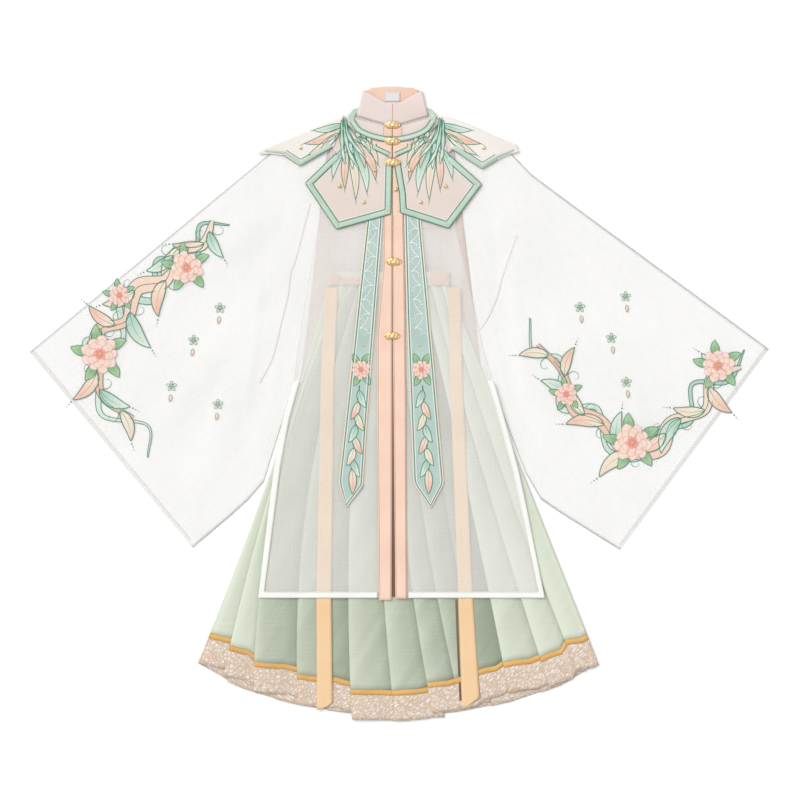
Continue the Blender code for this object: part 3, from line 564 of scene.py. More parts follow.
# %% Body panels
# y, left x, right x
JACKET_BACK = (
    (20, -91, 93.5),
    (-2, -140, 133.5),
    (-493, -196.5, 194),
    (-553.5, -206, 201.5),
    (-628, -221.5, 226),
    (-706.5, -243, 248.5),
    (-792, -269, 269),
    (-819, -274.5, 284.5),
    (-1060, -302.5, 343),
)
FRONT_LEFT = (
    (20, -95.5, -79),
    (-2, -131.5, -0.5),
    (-166.5, -158.5, -0.5),
    (-220.5, -165.5, -0.5),
    (-353, -190, -0.5),
    (-497, -212.5, -0.5),
    (-569, -221.5, -0.5),
    (-659, -246.5, -0.5),
    (-767, -266.5, -0.5),
    (-873, -280, -0.5),
    (-1062, -302.5, -2),
)
FRONT_RIGHT = (
    (20, 75.5, 92),
    (-2, 0.5, 127),
    (-166.5, 0.5, 136),
    (-234, 0.5, 143),
    (-362, 0.5, 174.5),
    (-513, 1, 208),
    (-589.5, 1.5, 233),
    (-693, 2.5, 262),
    (-767, 3.5, 282.5),
    (-837, 4, 298),
    (-1062, 6, 343),
)
panel("jacket_back", JACKET_BACK, 40, 90, yoke_lift, GAUZE_BACK, sheer=True)
for node, table in (("front_left", FRONT_LEFT), ("front_right", FRONT_RIGHT)):
    panel(node, table, 44, 150, over_panel(FRONT_PANEL), GAUZE_FRONT, rests=["skirt_cloth"], sheer=True)
print("body panels laid")

# %% [markdown]
# ## Plackets, ties and ribbons
# Two peach plackets run down the centre front. Two teal ties hang from under the cloud collar to points
# below the waist, and the skirt's own long ribbons lie on its pleats, seen first through the gauze and
# then bare.

# %% Straps of cloth
# y, left x, right x
PLACKET_LEFT = (
    (-2, -19, -0.5),
    (-306, -20, -0.5),
    (-472.5, -34, -0.5),
    (-616.5, -34, -0.5),
    (-1066.5, -30.5, -2),
)
PLACKET_RIGHT = (
    (-2, 0.5, 21.5),
    (-211.5, 0.5, 24.5),
    (-306, 0.5, 27),
    (-472.5, 1, 29),
    (-616.5, 2.5, 30.5),
    (-1063, 6.5, 32.5),
)
TIE_LEFT = (
    (-162, -55, -21.5),
    (-216, -58.5, -22),
    (-684, -108.5, -58.5),
    (-802, -121.5, -66),
    (-814.5, -117.5, -66.5),
    (-858, -104.5, -103),
)
TIE_RIGHT = (
    (-162, 26, 61),
    (-216, 26.5, 64),
    (-427.5, 32, 83),
    (-802, 47, 116),
    (-812, 53, 112.5),
    (-860, 85, 86.5),
)
RIBBON_LEFT = (
    (-363.5, -152, -122.5),
    (-560, -161, -130.5),
    (-1051, -171, -137.5),
    (-1299.5, -170, -135),
    (-1313, -169.5, -165.5),
)
RIBBON_RIGHT = (
    (-363.5, 125, 153),
    (-560, 128.5, 157.5),
    (-1051, 147.5, 180),
    (-1285, 156, 196),
    (-1309.5, 157, 161),
)


def on_skirt(x, y):
    return skirt_lift(y) + 7.5 + WALL / 2 + 0.4


for node, table in (("placket_left", PLACKET_LEFT), ("placket_right", PLACKET_RIGHT)):
    panel(node, table, 6, 150, over_panel(ON_PANEL), PEACH)
for node, table in (("tie_left", TIE_LEFT), ("tie_right", TIE_RIGHT)):
    panel(node, table, 8, 110, over_panel(ON_PANEL), TEAL)
for node, table in (("ribbon_left", RIBBON_LEFT), ("ribbon_right", RIBBON_RIGHT)):
    panel(node, table, 6, 120, on_skirt, RIBBON, rests=["skirt_cloth"])
print("straps laid")

# %% [markdown]
# ## The wide sleeves
# A wide sleeve is a tube folded along the shoulder line and sewn along its lower edge. Laid flat, its
# back wall is smooth on the table and its front wall keeps long ridges that run from the armpit to the
# cuff.

# %% Sleeves
# upper and lower end of each line across the sleeve, from armhole to cuff
SLEEVE_LEFT = (
    ((-140.5, -2), (-197, -493)),
    ((-208, -27), (-210.5, -553.5)),
    ((-266.5, -54), (-235, -628)),
    ((-316, -95.5), (-260, -706.5)),
    ((-383.5, -151), (-289, -801)),
    ((-455.5, -210.5), (-325, -842.5)),
    ((-568, -304), (-363.5, -877.5)),
    ((-692, -406), (-406, -913.5)),
    ((-815.5, -508.5), (-449, -949.5)),
)
SLEEVE_RIGHT = (
    ((134, -2), (194.5, -493)),
    ((201.5, -27), (206, -544.5)),
    ((260, -54), (237.5, -621)),
    ((314, -110), (269, -702)),
    ((395, -170), (300.5, -783)),
    ((485, -236), (334, -840.5)),
    ((602, -322), (381.5, -873)),
    ((723.5, -411), (446.5, -913.5)),
    ((847, -502), (512, -954)),
)


def between(first, second, share):
    return first[0] + (second[0] - first[0]) * share, first[1] + (second[1] - first[1]) * share


def sleeve_line(table, along):
    """Top and lower end of the line across the sleeve, at a share of the way from armhole to cuff."""
    place = along * (len(table) - 1)
    row = min(int(place), len(table) - 2)
    return [between(table[row][side], table[row + 1][side], place - row) for side in (0, 1)]


def sleeve(node, table):
    def rule(u, v):
        across = 2 * u if u <= 0.5 else 2 - 2 * u
        top, low = sleeve_line(table, v)
        length = math.dist(top, low)
        x, y = between(low, top, across)
        free = ramp((v * 843 - 76) / 114) * max(0.0, math.sin(math.pi * across)) ** 0.5
        front = yoke_lift(x, y) + SLEEVE_FRONT + WALL / 2 + crease(x, y, SLEEVE_CREASES) * free
        back, half = yoke_lift(x, y) + WALL / 2, yoke_lift(x, y) + 1.3
        wall = front if u > 0.5 else back
        turn = ramp(min(across, 1 - across) * length / 4)
        side = across if u <= 0.5 else -across
        z = half + (wall - half) * math.sqrt(turn * (2 - turn))
        return lay(x, y, z), (side * length / 1000, v * 0.84)

    return cloth(node + "_cloth", 128, 96, rule, GAUZE_WHITE, node, thickness=0.6, sewn=True, sheer=True)


sleeve("sleeve_left", SLEEVE_LEFT)
sleeve("sleeve_right", SLEEVE_RIGHT)
print("sleeves laid")

# %% [markdown]
# ## The pleated skirt
# The skirt is a tube of knife pleats: each face lies over the fold of the one on its right, turns under
# at its own fold line and comes back. The same section drawn at each height gives the cloth, the gold
# band and the brocade border, and the pleats open from the waist to the hem. Each face has its own tone,
# because the real cloth is doubled in some pleats and single in others, and the faces that lie in shadow
# are painted darker. Within a face the colour is painted lighter at the fold on top and darker where the
# cloth turns under.

# %% Skirt section
PLEAT_STEP = 1.4
BACK_LEVEL, BACK_DEEP = 0.5, 3.3
LOW_LEVEL = BACK_DEEP + 1.4
TOP_LEVEL = LOW_LEVEL + 2 * PLEAT_STEP
# Tone of each pleat face, higher is darker: the cloth is doubled in some pleats and single in others, and the
# faces that lie in shadow are painted darker.
FACE_LAYERING_AND_SHADE = (0.1, 0.16, 0.5, 0.56, 0.46, 0.5, 0.54, 0.6, 0.74, 0.26, 0.2, 0.1)


def skirt_section(row_y):
    """Rows of x, y, z and a share of layering and painted shade along the section, from the left side over
    the front and back under it.
    """
    folds = SKIRT_FOLDS
    ring = []

    def add(index, shift, level, hem_y, layering_and_shade):
        y = row_y(hem_y)
        ring.append((fold_x(folds[index], y) + shift(y), y, skirt_lift(y) + level, layering_and_shade))

    def tuck(index, y):
        before = fold_x(folds[index], y) - fold_x(folds[index - 1], y)
        after = fold_x(folds[index + 1], y) - fold_x(folds[index], y)
        return 0.36 * min(before, after)

    last = len(folds) - 2
    for index, layering_and_shade in enumerate(FACE_LAYERING_AND_SHADE):
        start, end = folds[index][3:]
        if index == 0:
            add(0, lambda y: 0.0, LOW_LEVEL, start, layering_and_shade)
        else:

            def rest(y, index=index):
                width = fold_x(folds[index + 1], y) - fold_x(folds[index], y)
                return tuck(index, y) + (width - tuck(index, y)) * 0.62

            # Painted shade within a face: lighter at its fold edge on top, darker as it runs under the next
            # fold.
            add(index, lambda y: 0.0, TOP_LEVEL, start, layering_and_shade - 0.14)
            third = start + (end - start) * 0.3
            add(index, lambda y, index=index: tuck(index, y) + 1.2, TOP_LEVEL, third, layering_and_shade)
            add(index, rest, LOW_LEVEL, start + (end - start) * 0.5, layering_and_shade + 0.1)
        if index < last:
            # Painted shade where the face turns under, darkest in the tuck.
            add(index + 1, lambda y: 0.0, LOW_LEVEL, end, layering_and_shade + 0.3)
            for level in (LOW_LEVEL, LOW_LEVEL + PLEAT_STEP):
                add(index + 1, lambda y, index=index: tuck(index + 1, y), level, end, 0.95)
            add(index + 1, lambda y: 0.0, LOW_LEVEL + PLEAT_STEP, folds[index + 1][3], 0.7)
    add(last + 1, lambda y: 0.0, LOW_LEVEL, folds[last][4], 0.1)
    for number in range(8):
        share, following = 1 - number / 8, 1 - (number + 1) / 8
        steps = (
            (share, BACK_LEVEL),
            (following + 0.03, BACK_LEVEL),
            (following + 0.012, BACK_DEEP),
            (following - 0.035, BACK_DEEP),
            (following - 0.035, BACK_DEEP - PLEAT_STEP),
            (following, BACK_DEEP - PLEAT_STEP),
        )
        if number == 7:
            steps = ((share, BACK_LEVEL), (0.0, BACK_LEVEL))
        for place, level in steps:
            y = row_y(folds[0][3] - 118 * math.sin(math.pi * place) ** 0.8)
            left, right = fold_x(folds[0], y), fold_x(folds[-1], y)
            ring.append((left + (right - left) * place, y, skirt_lift(y) + level, 0.4))
    return np.array(ring + ring[:1])


def softened(ring, parts=3):
    """The section with more points and its corners eased, as cloth turns a fold."""
    places = np.arange(len(ring) * parts - parts + 1) / parts
    fine = np.column_stack([np.interp(places, np.arange(len(ring)), ring[:, k]) for k in range(4)])
    eased = fine.copy()
    eased[1:-1, 2] = (fine[:-2, 2] + 2 * fine[1:-1, 2] + fine[2:, 2]) / 4
    return eased


print("section points:", len(skirt_section(lambda hem: hem)))


# %% Skirt pieces
def skirt_piece(node, row_at, rows, finish):
    rings = [softened(skirt_section(row_at(row / rows))) for row in range(rows + 1)]
    count = len(rings[0]) - 1
    paths = []
    for ring in rings:
        steps = np.linalg.norm(np.diff(ring[:, :3], axis=0), axis=1)
        paths.append(np.concatenate([[0], np.cumsum(steps)]))

    def rule(u, v):
        row, place = round((1 - v) * rows), round(u * count)
        x, y, z, layering_and_shade = rings[row][place]
        if z > skirt_lift(y) + 4.2:
            z += 0.5 * math.sin(x / 23 + 2.2 * math.sin(y / 210)) * math.sin(y / 95 + x / 60)
        return lay(x, y, z), (paths[row][place] / 1000, (y - rings[0][place][1]) / 1000), layering_and_shade

    return cloth(node + "_shell", count, rows, rule, finish, node, thickness=0.5, sewn=True, held="folded")


def cloth_row(share):
    return lambda hem: WAIST_Y + share * (hem + 68.6 - WAIST_Y)


def band_row(share):
    return lambda hem: hem + 68.3 - 12 * share


def border_row(share):
    return lambda hem: hem + 56 - 56 * share


skirt_piece("skirt_cloth", cloth_row, 64, SKIRT)
skirt_piece("skirt_gold_band", band_row, 2, GOLD_BAND)
skirt_piece("skirt_border", border_row, 6, BROCADE)
print("skirt pleated")

# %% [markdown]
# ## Waistband, sash and knots
# A cotton waistband closes the pleats. A sash crosses it, with a knot at each end. All of them are seen
# only through the gauze. A closed band is laid as a ring of even steps, so its UV map stays true.


# %% Bands
def tube(node, ring_at, across, down, finish, held="laid", sheer=False):
    rings, lengths = [], []
    for row in range(down + 1):
        ring = np.array(ring_at(row / down), float)
        ring = np.vstack([ring, ring[:1]])
        path = np.concatenate([[0], np.cumsum(np.linalg.norm(np.diff(ring, axis=0), axis=1))])
        even = np.linspace(0, path[-1], across + 1)
        rings.append(np.column_stack([np.interp(even, path, ring[:, k]) for k in range(3)]))
        lengths.append(path[-1])

    def rule(u, v):
        row = round(v * down)
        x, y, z = rings[row][round(u * across)]
        return lay(x, y, z), (u * lengths[row] / 1000, y / 1000)

    return cloth(node + "_cloth", across, down, rule, finish, node, sewn=True, held=held, sheer=sheer)


def waistband_ring(share):
    left, right = fold_x(SKIRT_FOLDS[0], WAIST_Y), fold_x(SKIRT_FOLDS[-1], WAIST_Y)
    y = WAIST_Y + 0.3 + 31.7 * share
    ring = [(left + (right - left) * step / 10, y, 8.8) for step in range(11)]
    ring.append((right + 2, y, 5.3))
    ring += [(left + (right - left) * step / 10, y, 1.8) for step in range(10, -1, -1)]
    ring.append((left - 2, y, 5.3))
    return ring


def knot(node, x, y, wide, long, tall, base):
    """A soft tied knot: a squashed ball with wraps round it."""
    work = bmesh.new()
    bmesh.ops.create_uvsphere(work, u_segments=32, v_segments=18, radius=0.5)
    for vertex in work.verts:
        place = vertex.co.copy()
        turn = math.atan2(place.y, place.x)
        wrap = 1 + 0.1 * math.cos(9 * place.x + 5 * place.y) + 0.05 * math.cos(3 * turn)
        vertex.co = lay(x + place.x * wide * wrap, y + place.y * long * wrap, base + (place.z + 0.5) * tall)
    obj = placed(node + "_silk", work)
    dress(obj, SASH, node)


SASH_TABLE = ((-342.5, -115, 79), (-357, -115, 79))
tube("skirt_waistband", waistband_ring, 80, 6, WAIST)
panel("sash", SASH_TABLE, 60, 6, lambda x, y: SKIRT_TOP + 0.3 + 0.2 * math.sin(x / 9), SASH)
knot("knot_left", -130.5, -344, 27, 28, 2.6, SKIRT_TOP + 0.4)
knot("knot_right", 103.5, -341, 40, 36, 2.6, SKIRT_TOP + 0.4)
print("waist closed")

# %% [markdown]
# ## White bindings
# The hem and the side slits are bound in white, with a mitre at each lower corner. The strip is laid
# between pairs of points, its outer and its inner edge, and the lobes of the cloud collar are laid in the
# same way.


# %% Strips between two edges
def strip(node, pairs, across, down, height, finish, thickness=0.7, rests=(), added=""):
    middles = [between(outer, inner, 0.5) for outer, inner in pairs]
    path = np.concatenate([[0], np.cumsum([math.dist(a, b) for a, b in zip(middles, middles[1:])])])

    def rule(u, v):
        reach = v * path[-1]
        row = min(int(np.searchsorted(path, reach, side="right")) - 1, len(pairs) - 2)
        share = (reach - path[row]) / (path[row + 1] - path[row])
        outer, inner = (between(pairs[row][side], pairs[row + 1][side], share) for side in (0, 1))
        x, y = between(outer, inner, u)
        return lay(x, y, height(x, y) + WALL / 2), (u * math.dist(outer, inner) / 1000, reach / 1000)

    name = added or node + "_cloth"
    return cloth(name, across, down, rule, finish, node, thickness, rests=rests, added=bool(added))


def binding_pairs(table, side, inner_x):
    hem, width = table[-1][0], 14.0
    sign = 1 if side == 1 else -1
    pairs = []
    for y in [-574] + [row[0] for row in table if hem < row[0] < -574] + [hem + width]:
        x = at_y(table, y, side) + 0.8 * sign
        pairs.append(((x, y), (x + sign * width, y)))
    corner = at_y(table, hem, side) + 0.8 * sign
    pairs[-1] = ((corner, hem + 0.8), (corner + sign * width, hem + 0.8 + width))
    pairs.append(((inner_x, hem + 0.8), (inner_x, hem + 0.8 + width)))
    return pairs


def binding_height(x, y):
    return panel_height(x, y) + ON_PANEL + 0.1


strip("edge_binding_left", binding_pairs(FRONT_LEFT, 1, -33.5), 4, 220, binding_height, BINDING)
strip("edge_binding_right", binding_pairs(FRONT_RIGHT, 2, 36), 4, 220, binding_height, BINDING)
print("hem bound")

# %% [markdown]
# ## The cloud collar
# The cloud collar is a yoke of lobes: one on each chest, one folded over each shoulder, one at the back
# and two small tabs at the throat. The lobes are interlined gauze, so they lie stiff and nearly opaque.

# %% Lobes
# y, left x, right x
CLOUD_BACK = (
    (29, -95.5, 98),
    (4.5, -100, 102.5),
    (-61, -122.5, 122.5),
    (-130.5, -194.5, 199),
    (-180, -161, 163),
    (-232, -127, 127),
)
# outer and inner edge of each lobe, from the neck down or outwards
CLOUD_LEFT = (
    ((-104.5, 4.5), (-90, -16)),
    ((-127, -63), (-46, -37)),
    ((-196, -129), (-2, -79)),
    ((-161.5, -180.5), (-3, -144)),
    ((-127, -232.5), (-4.5, -198)),
)
CLOUD_RIGHT = (
    ((108, 4.5), (93.5, -11)),
    ((125, -64), (48.5, -37)),
    ((200, -131.5), (4.5, -79)),
    ((163, -181), (17, -153)),
    ((127, -230.5), (19, -196)),
)
SHOULDER_LEFT = (
    ((-109, 23.5), (-130.5, -45)),
    ((-145, 11), (-156.5, -63)),
    ((-194.5, -11), (-208, -90)),
    ((-235, -29), (-244, -66.5)),
    ((-271, -45), (-275.5, -63)),
    ((-301.5, -57.5), (-301.5, -63)),
)
SHOULDER_RIGHT = (
    ((111.5, 23.5), (130.5, -49.5)),
    ((147.5, 12.5), (158.5, -72)),
    ((192.5, -5.5), (202.5, -97)),
    ((230.5, -22.5), (237.5, -75.5)),
    ((255.5, -32.5), (260, -65)),
    ((277, -41.5), (284.5, -58)),
)
TAB_LEFT = (((-45, -35), (-1.5, -38.5)), ((-45, -52), (-1.5, -73)))
TAB_RIGHT = (((43, -35.5), (1.5, -38.5)), ((43, -54), (1.5, -73)))


def shoulder(node, table):
    """The lobe lies on the jacket in front, turns round the shoulder line and comes back under the jacket."""
    front, back = 1.3 + LOBE + WALL / 2, WALL / 2

    def rule(u, v):
        place = v * (len(table) - 1)
        row = min(int(place), len(table) - 2)
        top, low = (between(table[row][side], table[row + 1][side], place - row) for side in (0, 1))
        length = math.dist(top, low)
        across = 2 * u if u <= 0.5 else 2 - 2 * u
        turn = ramp((1 - across) * length / 4)
        half = (front + back) / 2
        wall = front if u <= 0.5 else back
        x, y = between(low, top, across)
        side = u * 2 * length / 1000
        return lay(x, y, half + (wall - half) * math.sqrt(turn * (2 - turn))), (side, place * 0.04)

    # Painted light: the shoulder lobes take the lighter copy of the cream gauze.
    return cloth(node + "_cloth", 40, 40, rule, LIT_CREAM, node, thickness=0.8, held="folded")


def facing(hand):
    """Cloth of the yoke that shows between the collar, the neck ring and the lobes."""
    inner = ((-19, 0), (-42, 5), (-62, 10), (-78, 15), (-88, 22))
    outer = ((-19, -62), (-62, -74), (-112, -76), (-138, -50), (-136, -6))
    return [((x1 * hand, y1), (x2 * hand, y2)) for (x1, y1), (x2, y2) in zip(inner, outer)]


panel("cloud_back", CLOUD_BACK, 40, 40, lambda x, y: 0.0, CREAM)
strip("cloud_front_left", facing(1), 24, 40, over_panel(3.95), CREAM, 0.2, added="neck_facing_left")
strip("cloud_front_right", facing(-1), 24, 40, over_panel(3.95), CREAM, 0.2, added="neck_facing_right")
strip("cloud_front_left", CLOUD_LEFT, 30, 50, over_panel(LOBE), CREAM)
strip("cloud_front_right", CLOUD_RIGHT, 30, 50, over_panel(LOBE), CREAM)
shoulder("cloud_shoulder_left", SHOULDER_LEFT)
shoulder("cloud_shoulder_right", SHOULDER_RIGHT)
strip("cloud_tab_left", TAB_LEFT, 12, 8, over_panel(ON_LOBE), PEACH)
strip("cloud_tab_right", TAB_RIGHT, 12, 8, over_panel(ON_LOBE), PEACH)
print("lobes laid")

# %% [markdown]
# ## The stand collar
# The stand collar is one band from the front centre round the back to the front again. Lying flat, its
# back stands above the front and shows the peach lining, where a plain label is sewn.

# %% Collar
# x, y of the base seam, y of the top edge
COLLAR_FRONT = ((0.4, -1.3, 52.5), (19, 3.9, 52.0), (42, 10.5, 63.0), (62, 16.3, 73.0), (78, 21.0, 77.0))
COLLAR_BACK = ((78, 30.0, 78.5), (62, 36.0, 82.0), (42, 38.0, 86.0), (19, 38.0, 88.5), (0, 38.0, 89.0))

# y, left x, right x
COLLAR_LINING = ((86, -44, 44), (80, -58, 58), (62, -62, 62), (46, -62, 62))
NECK_LABEL = ((76, -17, 17), (55, -17, 17))


def collar_ring(share):
    narrow = 1 - 0.16 * share
    front_z, back_z = 1.3 + FRONT_PANEL + WALL / 2, 1.3 + WALL / 2
    ring = []
    for x, base, top in COLLAR_FRONT:
        puff = 5 * math.sin(math.pi * share * 0.75) * (x / 78)
        ring.append((-x * (narrow if x > 1 else 1.0), base + (top - base) * share, front_z + puff))
    puff = 2.5 * math.sin(math.pi * share * 0.75)
    ring.append((-(78 * narrow + 1.6), 27 + 50.5 * share, (front_z + back_z) / 2 + puff))
    for x, base, top in COLLAR_BACK:
        ring.append((-x * narrow, base + (top - base) * share, back_z))
    return ring + [(-x, y, z) for x, y, z in ring[:-1]][::-1]


tube("stand_collar", collar_ring, 120, 16, GAUZE_COLLAR, held="folded")
panel("collar_lining", COLLAR_LINING, 24, 12, lambda x, y: 2.6, LINING)
panel("neck_label", NECK_LABEL, 12, 8, lambda x, y: 3.9, LABEL)
print("collar closed")

# %% [markdown]
# ## Neck ring and padded edges
# A flat mint band holds the lobes round the neck. Each lobe is edged with a padded roll of mint satin:
# cord under a bias strip. A roll is a closed tube along the edge's corners, mitred where it turns, with
# closed ends.

# %% Neck ring
# point on the middle line, share of the height in front
NECK_RING = (
    ((-2, -30), 1),
    ((-18, -29.5), 1),
    ((-50.5, -21.5), 1),
    ((-76.5, -9), 1),
    ((-91, 11), 1),
    ((-93, 21), 0.9),
    ((-84, 33), 0),
    ((-50.5, 43), 0),
    ((0, 45), 0),
    ((50.5, 43), 0),
    ((84, 33), 0),
    ((92.5, 21), 0.9),
    ((90.5, 11), 1),
    ((75.5, -9), 1),
    ((50.5, -21.5), 1),
    ((17, -29.5), 1),
    ((2, -30), 1),
)


def direction(first, second):
    length = math.dist(first, second)
    return (second[0] - first[0]) / length, (second[1] - first[1]) / length


def side_of(points, index):
    """The unit normal at a corner of a path, and how much longer the mitre is than the half width."""
    before = direction(points[max(index - 1, 0)], points[max(index, 1)])
    last = min(index, len(points) - 2)
    after = direction(points[last], points[last + 1])
    normal = (-(before[1] + after[1]), before[0] + after[0])
    size = math.hypot(*normal)
    normal = (normal[0] / size, normal[1] / size)
    return normal, 1 / max(0.5, -normal[0] * after[1] + normal[1] * after[0])


def neck_ring():
    points = [point for point, _ in NECK_RING]
    levels = [(1.3 + ON_LOBE) * share for _, share in NECK_RING]
    last = len(points) - 1

    def rule(u, v):
        row = min(int(v * last), last - 1)
        share = v * last - row
        ends = []
        for index in (row, row + 1):
            (nx, ny), reach = side_of(points, index)
            shift = 6 * reach * (1 - 2 * u)
            ends.append((points[index][0] + nx * shift, points[index][1] + ny * shift))
        x, y = between(ends[0], ends[1], share)
        z = levels[row] + (levels[row + 1] - levels[row]) * share + WALL / 2
        return lay(x, y, z), ((u - 0.5) * 0.012, v * 0.43)

    cloth("neck_ring_satin", 6, 128, rule, MINT, "neck_ring", thickness=0.8, held="folded")


neck_ring()
print("neck ring laid")

# %% Padded rolls
# corners of each roll
EDGES = {
    "piping_front_left": ((-121.5, -66.5), (-187.5, -130), (-123.5, -225), (-10, -193.5), (-7.5, -80.5)),
    "piping_front_right": ((11, -84), (22.5, -153), (24.5, -191), (124, -223), (192, -132), (124, -71.5)),
    "piping_shoulder_left": ((-137, -43), (-207, -83.5), (-242, -60.5), (-289, -56)),
    "piping_shoulder_right": ((137, -47), (202, -90), (234, -70), (274.5, -53)),
    "piping_tab_left": ((-40.5, -40.5), (-40.5, -49), (-6, -65)),
    "piping_tab_right": ((38.5, -40.5), (38.5, -51), (6, -65)),
}


def roll(node, corners, width, tall, level, taper=1.0, around=14):
    points = []
    for first, second in zip(corners, corners[1:]):
        parts = max(1, round(math.dist(first, second) / 3))
        points += [between(first, second, part / parts) for part in range(parts)]
    points.append(corners[-1])
    last = len(points) - 1
    work = bmesh.new()
    work.loops.layers.uv.new("UVMap")
    bmesh.ops.create_grid(work, x_segments=around, y_segments=last, size=0.5, calc_uvs=True)
    layer = work.loops.layers.uv.active
    marks = {}
    for vertex in work.verts:
        row, turn = round((vertex.co.y + 0.5) * last), (vertex.co.x + 0.5) * 2 * math.pi
        (nx, ny), reach = side_of(points, row)
        end = max(0.02, math.sqrt(ramp(min(row, last - row) / 1.5)))
        narrow = (1 - (1 - taper) * row / last) * end
        c, s = math.cos(turn), math.sin(turn)
        shift = math.copysign(abs(c) ** 0.75, c) * width / 2 * narrow * reach
        rise = (0.5 + 0.5 * math.copysign(abs(s) ** 0.75, s) * end) * tall
        x, y = points[row][0] + nx * shift, points[row][1] + ny * shift
        marks[vertex] = (turn * width / 6280, row * 0.003)
        vertex.co = lay(x, y, level + rise)
    for face in work.faces:
        for loop in face.loops:
            loop[layer].uv = marks[loop.vert]
    bmesh.ops.remove_doubles(work, verts=work.verts, dist=1e-6)
    bmesh.ops.holes_fill(work, edges=work.edges, sides=around)
    bmesh.ops.recalc_face_normals(work, faces=work.faces)
    obj = placed(node + "_roll", work)
    dress(obj, MINT, node)


for node, corners in EDGES.items():
    if "tab" in node:
        roll(node, corners, 7, 2, 1.3 + ON_LOBE + STEP)
    elif "shoulder" in node:
        roll(node, corners, 10, 3, 1.3 + ON_LOBE, 0.3)
    else:
        roll(node, corners, 11, 3, 1.3 + ON_LOBE)
print("padded rolls:", len(EDGES))

# %% [markdown]
# ## Needlework
# Embroidery is thread laid on the cloth, so each stitch shape here is a small grid patch that lies a hair
# above the surface it is sewn to. `surface` drops a ray on the finished cloth and finds its height.
# `Needlework` gathers all patches of one piece in one mesh, with a material slot for every skein.

# %% Height of a finished surface
BARE, RISE = 0.45, 0.28


def surface(*names):
    points, faces = [], []
    for name in names:
        mesh = bpy.data.objects[name].data
        start = len(points)
        points += [vertex.co.copy() for vertex in mesh.vertices]
        faces += [[start + index for index in face.vertices] for face in mesh.polygons]
    tree = BVHTree.FromPolygons(points, faces)

    def height(x, y):
        hit = tree.ray_cast(lay(x, y, 80), Vector((0, 0, -1)))[0]
        if hit is None:
            hit = tree.find_nearest(lay(x, y, 12))[0]
        return hit.z * 1000

    return height


# %% Patches and lines of thread
# places of the skeins in THREADS
GREEN_S, MINT_S, CREAM_S, PEACH_S, PINK_S, ROSE_S = range(6)
LEAF_S, GOLD_S, WHITE_S, SEAM_S, SHADE_S, OPENING_SHADOW_S = range(6, 12)


class Needlework:
    def __init__(self, name, height, slot):
        self.name, self.height, self.slot = name, height, slot
        self.work = bmesh.new()
        self.uv = self.work.loops.layers.uv.new("UVMap")
        self.along = self.work.verts.layers.float.new("along")

    def patch(self, across, along, place, skein, lift):
        made = bmesh.ops.create_grid(self.work, x_segments=across, y_segments=along, size=0.5)
        marks = {}
        for vertex in made["verts"]:
            v = vertex.co.y + 0.5
            x, y, rise, side, reach = place(vertex.co.x + 0.5, v)
            vertex.co = lay(x, y, self.height(x, y) + BARE + lift * RISE + rise)
            vertex[self.along] = v
            marks[vertex] = (side / 1000, reach / 1000)
        faces = {face for vertex in made["verts"] for face in vertex.link_faces}
        for face in faces:
            face.material_index = skein
            face.normal_update()
            for loop in face.loops:
                loop[self.uv].uv = marks[loop.vert]
        bmesh.ops.reverse_faces(self.work, faces=[face for face in faces if face.normal.z < 0])

    def line(self, points, width, skein, lift=2, taper=False):
        points = np.array(points, float)
        steps = np.linalg.norm(np.diff(points, axis=0), axis=1)
        path = np.concatenate([[0], np.cumsum(steps)])
        count = max(2, min(160, round(path[-1] / 5)))

        def at(reach):
            return np.array([np.interp(reach, path, points[:, k]) for k in (0, 1)])

        def place(u, v):
            reach = v * path[-1]
            near = 0.02 * path[-1]
            run = at(min(reach + near, path[-1])) - at(max(reach - near, 0))
            normal = np.array((-run[1], run[0])) / max(1e-6, np.linalg.norm(run))
            wide = width * (1 - 0.75 * v) if taper else width
            x, y = at(reach) + normal * (u - 0.5) * wide
            return x, y, 0.22 * (1 - abs(2 * u - 1)), (u - 0.5) * wide, reach

        self.patch(2, count, place, skein, lift)

    def finish(self):
        obj = placed(self.name, self.work)
        for finish in THREADS:
            obj.data.materials.append(finish)
        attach(obj, "root")
        return obj


def curve(points, parts=10):
    """A smooth path through points, as a chalk line is drawn before stitching."""
    points = [np.array(point, float) for point in points]
    ends = [2 * points[0] - points[1], *points, 2 * points[-1] - points[-2]]
    path = []
    for a, b, c, d in zip(ends, ends[1:], ends[2:], ends[3:]):
        for part in range(parts):
            t = part / parts
            bow = (2 * a - 5 * b + 4 * c - d) * t**2 + (3 * b - a - 3 * c + d) * t**3
            path.append(0.5 * (2 * b + (c - a) * t + bow))
    return np.array(path + [points[-1]])


print("needle threaded")

# %% [markdown]
# ## Leaves, petals and stems
# A leaf is a filled shape between two outlines, with a rib. The same outline rule with a blunt end makes
# a petal, and rings of petals make a full-blown blossom. A stem is a smooth band with an outline on each
# side.


